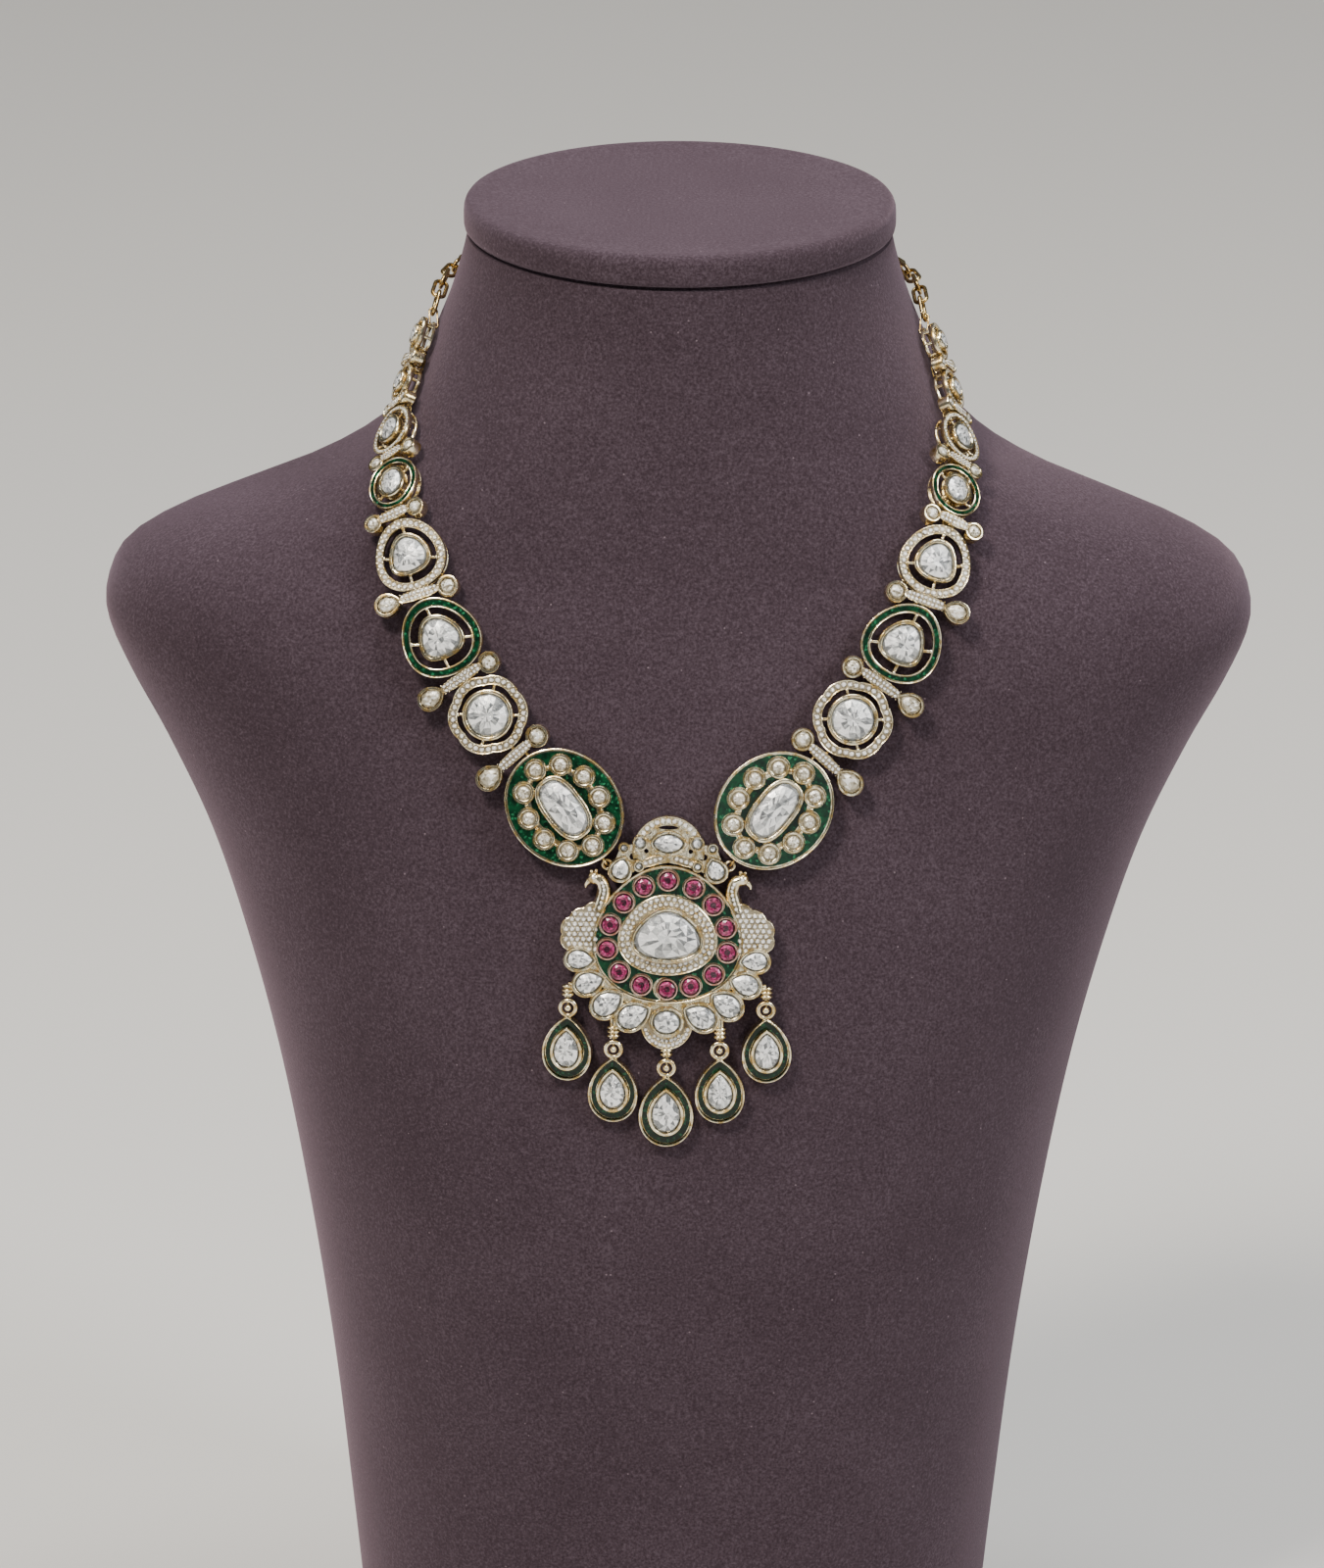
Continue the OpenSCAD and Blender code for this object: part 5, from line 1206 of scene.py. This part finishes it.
        # a strap from the shoulder setting to the eye
        rod(metal, where, (10.9 * side, 13.2, 1.2), (9.6 * side, 12.6, 1.2), 1.2, 14)
    build_crown_back(metal, where)
    for side in (1, -1):
        build_peacock(metal, pave, where, side, rng)
    hanger(metal, where, PINS[0], HANGS[0])
    for side in (1, -1):
        for k in (1, 2):
            hanger(metal, where, (PINS[k][0] * side, PINS[k][1]), (HANGS[k][0] * side, HANGS[k][1]))
    finish_piece("pendant_metal", metal, [GOLD, ROSE_GOLD, SHADED_BED], ["pendant_frame"])
    finish_piece("pendant_pave", pave, [SMALL_STONE], [], crease=0)
    finish_piece("pendant_ruby_gems", rubies, [RUBY], ["pendant_rubies"], crease=0)
    for gems, name, node in ((petals, "petal_gems", "petal_stones"), (crown, "crown_gems", "crown_stones"),
                             (centre, "centre_gem", "centre_stone")):
        finish_piece("pendant_" + name, gems, [CLEAR_STONE], ["pendant_" + node], crease=0)


def circle(x, y, w, l, n=16):
    return [(x + w / 2 * cosd(k * 360 / n), y + l / 2 * sind(k * 360 / n)) for k in range(n)]


def build_crown_back(metal, where):
    right = [(9.6, 10.4), (10.9, 13.0), (9.8, 15.6), (9.2, 17.4), (6.6, 17.4)]
    arc = [(6.4 * cosd(a), ARCH_AT[1] + 6.4 * sind(a)) for a in range(12, 170, 12)]
    outer = right + arc + [(-x, y) for x, y in reversed(right)]
    low_edge = [(-6.4, 12.3), (-3.0, 13.4), (0, 14.0), (3.0, 13.4), (6.4, 12.3)]
    outer += low_edge
    holes = [circle(0, 20.95, 4.3, 1.1)]
    for side in (1, -1):
        holes += [circle(3.75 * side, 19.95, 0.9, 0.9), circle(4.3 * side, 16.2, 0.9, 0.9),
                  circle(6.7 * side, 15.1, 1.8, 1.4)]
    pierced_plate(metal, where, outer, holes, PEND_Z, PEND_TOP)


def smooth_line(points, steps=5):
    """A smooth curve through a few points of the pendant's plane."""
    found = []
    P = [Vector((x, y, 0)) for x, y in points]
    for i in range(len(P) - 1):
        a, b, c, d = P[max(0, i - 1)], P[i], P[i + 1], P[min(len(P) - 1, i + 2)]
        for k in range(steps):
            w = k / steps
            found.append(b + (c - a) * (w / 2) + (a - b * 2.5 + c * 2 - d * 0.5) * (w * w)
                         + ((b - c) * 1.5 + (d - a) * 0.5) * (w ** 3))
    return found + [P[-1]]


def wing_outline(inset, n=96):
    """The scalloped edge of the wing: the farthest lobe in each direction, ending in the disc's rim."""
    cx, cy = WING_AT
    found = []
    for k in range(n):
        ux, uy = cosd(k * 360 / n), sind(k * 360 / n)
        far = 0
        for x, y, d in WING:
            dx, dy = x - cx, y - cy
            along = dx * ux + dy * uy
            gap = (d / 2) ** 2 - (dx * dx + dy * dy - along * along)
            if gap > 0:
                far = max(far, along + math.sqrt(gap))
        far -= inset
        while far > 0.2 and math.hypot((cx + ux * far) / (DISC_W / 2 - WING_IN),
                                       (cy + uy * far) / (DISC_L / 2 - WING_IN)) < 1:
            far -= 0.05
        found.append((cx + ux * far, cy + uy * far))
    return found


def build_peacock(metal, pave, where, side, rng):
    z = PEND_Z + PEND_T / 2
    if side < 0:
        where = where @ MIRROR
    bed = PEND_TOP + 0.5
    rows = [(0.1, PEND_Z), (0, PEND_Z + 0.12), (0, bed + 0.05), (0.05, bed + 0.2), (0.14, bed + 0.24),
            (0.22, bed + 0.18), (0.26, bed)]
    steps = sweep(metal, [[where @ Vector((x, y, h)) for x, y in wing_outline(inset)]
                          for inset, h in rows])[3]
    # the wing's top, between its tiny stones, takes the bed painted in shade
    for f in steps[-1]:
        f.material_index = 2
    # tiny stones in a staggered grid over the wing
    d = 1.12
    row = 0
    y = -4.0
    edge = wing_outline(0.72)
    while y < 6:
        x = 12.4 + (d / 2 if row % 2 else 0)
        while x < 21:
            inside = False
            for k in range(len(edge)):
                (ax, ay), (bx, by) = edge[k - 1], edge[k]
                if (ay > y) != (by > y) and x < ax + (y - ay) / (by - ay) * (bx - ax):
                    inside = not inside
            if inside:
                tiny_stone(pave, where, x, y, bed + 0.1, d * 0.96, rng)
            if inside and math.hypot(x + d / 2 - WING_AT[0], y + d * 0.29 - WING_AT[1]) < 4.2:
                bead(metal, where, x + d / 2, y + d * 0.29, bed + 0.12, 0.32)
            x += d
        y += d * 0.87
        row += 1
    line = [p + Vector((0, 0, z + 0.2)) for p in smooth_line(NECK_LINE)]
    radii = [1.55 - 0.4 * k / (len(line) - 1) for k in range(len(line))]
    swept_tube(metal, where, line, radii)
    for k in range(2, len(line) - 5, 2):
        p = line[k]
        tiny_stone(pave, where, p.x, p.y, p.z + radii[k] - 0.06, 0.9, rng)
    hx, hy = HEAD_AT
    bmesh.ops.create_uvsphere(metal, u_segments=20, v_segments=12, radius=1.3,
                              matrix=where @ Matrix.Translation((hx, hy, z + 0.2)))
    tiny_stone(pave, where, hx, hy + 0.1, z + 1.45, 1.1, rng)
    beak = [Vector(p) for p in ((hx + 0.3, hy - 0.4, z + 0.1), (hx + 1.1, hy - 0.7, z + 0.1),
                                (hx + 1.5, hy - 1.3, z), (hx + 1.6, hy - 1.9, z - 0.1))]
    swept_tube(metal, where, beak, [0.8, 0.6, 0.4, 0.14], 10)
    bead(metal, where, hx - 0.4, hy + 1.35, z + 0.3, 0.8, 2)
    bead(metal, where, hx + 0.5, hy + 1.3, z + 0.3, 0.7, 2)


build_pendant()
print("pendant:", sum(v for k, v in triangles.items() if "pendant" in k), "triangles")

# %% [markdown]
# ## The drops
# Five pears of dark green enamel with a stone in a closed setting. Each hangs by its own
# loop from the pendant's pin, and its back rests by the velvet.

# %% Drops
def drop_frame(k):
    size = 1 if k == 0 else DROP_SHARE
    pin = in_frame(PENDANT, PINS[k][0], PINS[k][1], PEND_Z + PEND_T / 2)
    h = (pin.z - (LOOP_R + DROP_L * size) * 0.97) / BUST_H
    t = bearing(pin.x, h)
    n = skin_normal(t, h)
    rest = skin(t, h) + n * (SEAT_GAP + 1)
    y = (pin - rest).normalized()
    z = (n - y * n.dot(y)).normalized()
    return [pin, y.cross(z), y, z]


def build_drop(name, k, side, gems, rng):
    size = 1 if k == 0 else DROP_SHARE
    where = place(drop_frame(k))
    if side == "left":
        where = MIRROR @ where
    metal = new_bmesh()
    torus(metal, where, LOOP_R, DROP_WIRE, 36, 14)
    body = where @ Matrix.Translation((0, -LOOP_R - DROP_L * size / 2, -1))
    w, l = DROP_W * size, DROP_L * size
    rows = [(0.15, 0), (0, 0.14), (0, 1.72), (0.07, 1.88), (0.22, 1.95), (0.38, 1.88), (0.45, 1.7),
            (0.45, 0.8)]
    profile(metal, body, "pear", w, l, rows, 72)
    set_stone(metal, gems, body, "pear", w * 0.66, l * 0.68, 0.3, 2.6, 56, 1.15, 18, rng)
    finish_piece(name + "_metal", metal, [GOLD], [name])


drop_gems = new_bmesh()
drop_rng = random.Random(11)
build_drop("drop_middle", 0, "", drop_gems, drop_rng)
for k, name in ((1, "drop_inner"), (2, "drop_outer")):
    for side in ("left", "right"):
        build_drop(f"{name}_{side}", k, side, drop_gems, drop_rng)
finish_piece("drop_gems", drop_gems, [CLEAR_STONE], ["drop_stones"], crease=0)
print("drops:", sum(v for k, v in triangles.items() if "drop" in k), "triangles")

# %% [markdown]
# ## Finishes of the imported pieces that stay
# The enamel, the joining rings, the neck chain and the clasp already have their true
# shape, so they keep it and only get their finish.

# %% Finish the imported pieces
for name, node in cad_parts.items():
    if name.startswith(("joining_rings", "chain", "clasp")):
        made = WIRE_GOLD
    elif name == "drop_enamel":
        made = DARK_ENAMEL
    elif "enamel" in name:
        made = ENAMEL
    elif name == "bust":
        made = VELVET
    elif name == "pendant_rubies":
        made = RUBY
    elif "stone" in name:
        made = CLEAR_STONE
    else:
        made = GOLD
    for slot in node.material_slots:
        slot.material = made

# %% [markdown]
# ## Floor and light
# A plain pale floor and large soft lamps, as on a studio table. The gold needs both
# bright panels and darker gaps to mirror, so the room itself stays dim.

# %% Floor
floor_bm = bmesh.new()
bmesh.ops.create_grid(floor_bm, x_segments=1, y_segments=1, size=4)
floor_mesh = bpy.data.meshes.new("floor")
floor_bm.to_mesh(floor_mesh)
floor_bm.free()
floor = bpy.data.objects.new("floor", floor_mesh)
FLOOR, tree, shader, spot = new_material("pale floor")
shader.inputs["Base Color"].default_value = linear("#D8D6D2")
shader.inputs["Roughness"].default_value = 0.8
floor_mesh.materials.append(FLOOR)
bpy.context.scene.collection.objects.link(floor)

# %% Lights
def soft_lamp(name, at, aim, size, power, colour="#FFFFFF"):
    data = bpy.data.lights.new(name, "AREA")
    data.shape = "RECTANGLE"
    data.size, data.size_y = size
    data.energy = power
    data.color = linear(colour)[:3]
    lamp = bpy.data.objects.new(name, data)
    lamp.location = at
    lamp.rotation_euler = (Vector(aim) - Vector(at)).to_track_quat("-Z", "Y").to_euler()
    bpy.context.scene.collection.objects.link(lamp)


LAMP_AIM = (0, 0, 0.2)
soft_lamp("key", (-0.7, -1.1, 1.9), LAMP_AIM, (0.45, 0.45), 48, "#FFF6EA")
for name, at, size, power in (("fill", (1.3, -0.9, 1.3), (0.4, 0.6), 20),
                              ("top", (0.1, 0.1, 1.8), (0.9, 0.7), 26),
                              ("front wall", (0.3, -2.3, 0.5), (0.7, 0.9), 2.6),
                              ("left wall", (-1.9, -0.9, 0.5), (0.7, 1.0), 4.4),
                              ("right wall", (1.9, -0.9, 0.5), (0.7, 1.0), 3.6)):
    soft_lamp(name, at, LAMP_AIM, size, power)
world = bpy.data.worlds.new("dim room")
world.use_nodes = True
world.node_tree.nodes["Background"].inputs["Color"].default_value = linear("#C9CDD2")
world.node_tree.nodes["Background"].inputs["Strength"].default_value = 0.14
bpy.context.scene.world = world

# %% Sizes for the record, and finish
print("all pieces:", sum(triangles.values()), "triangles")
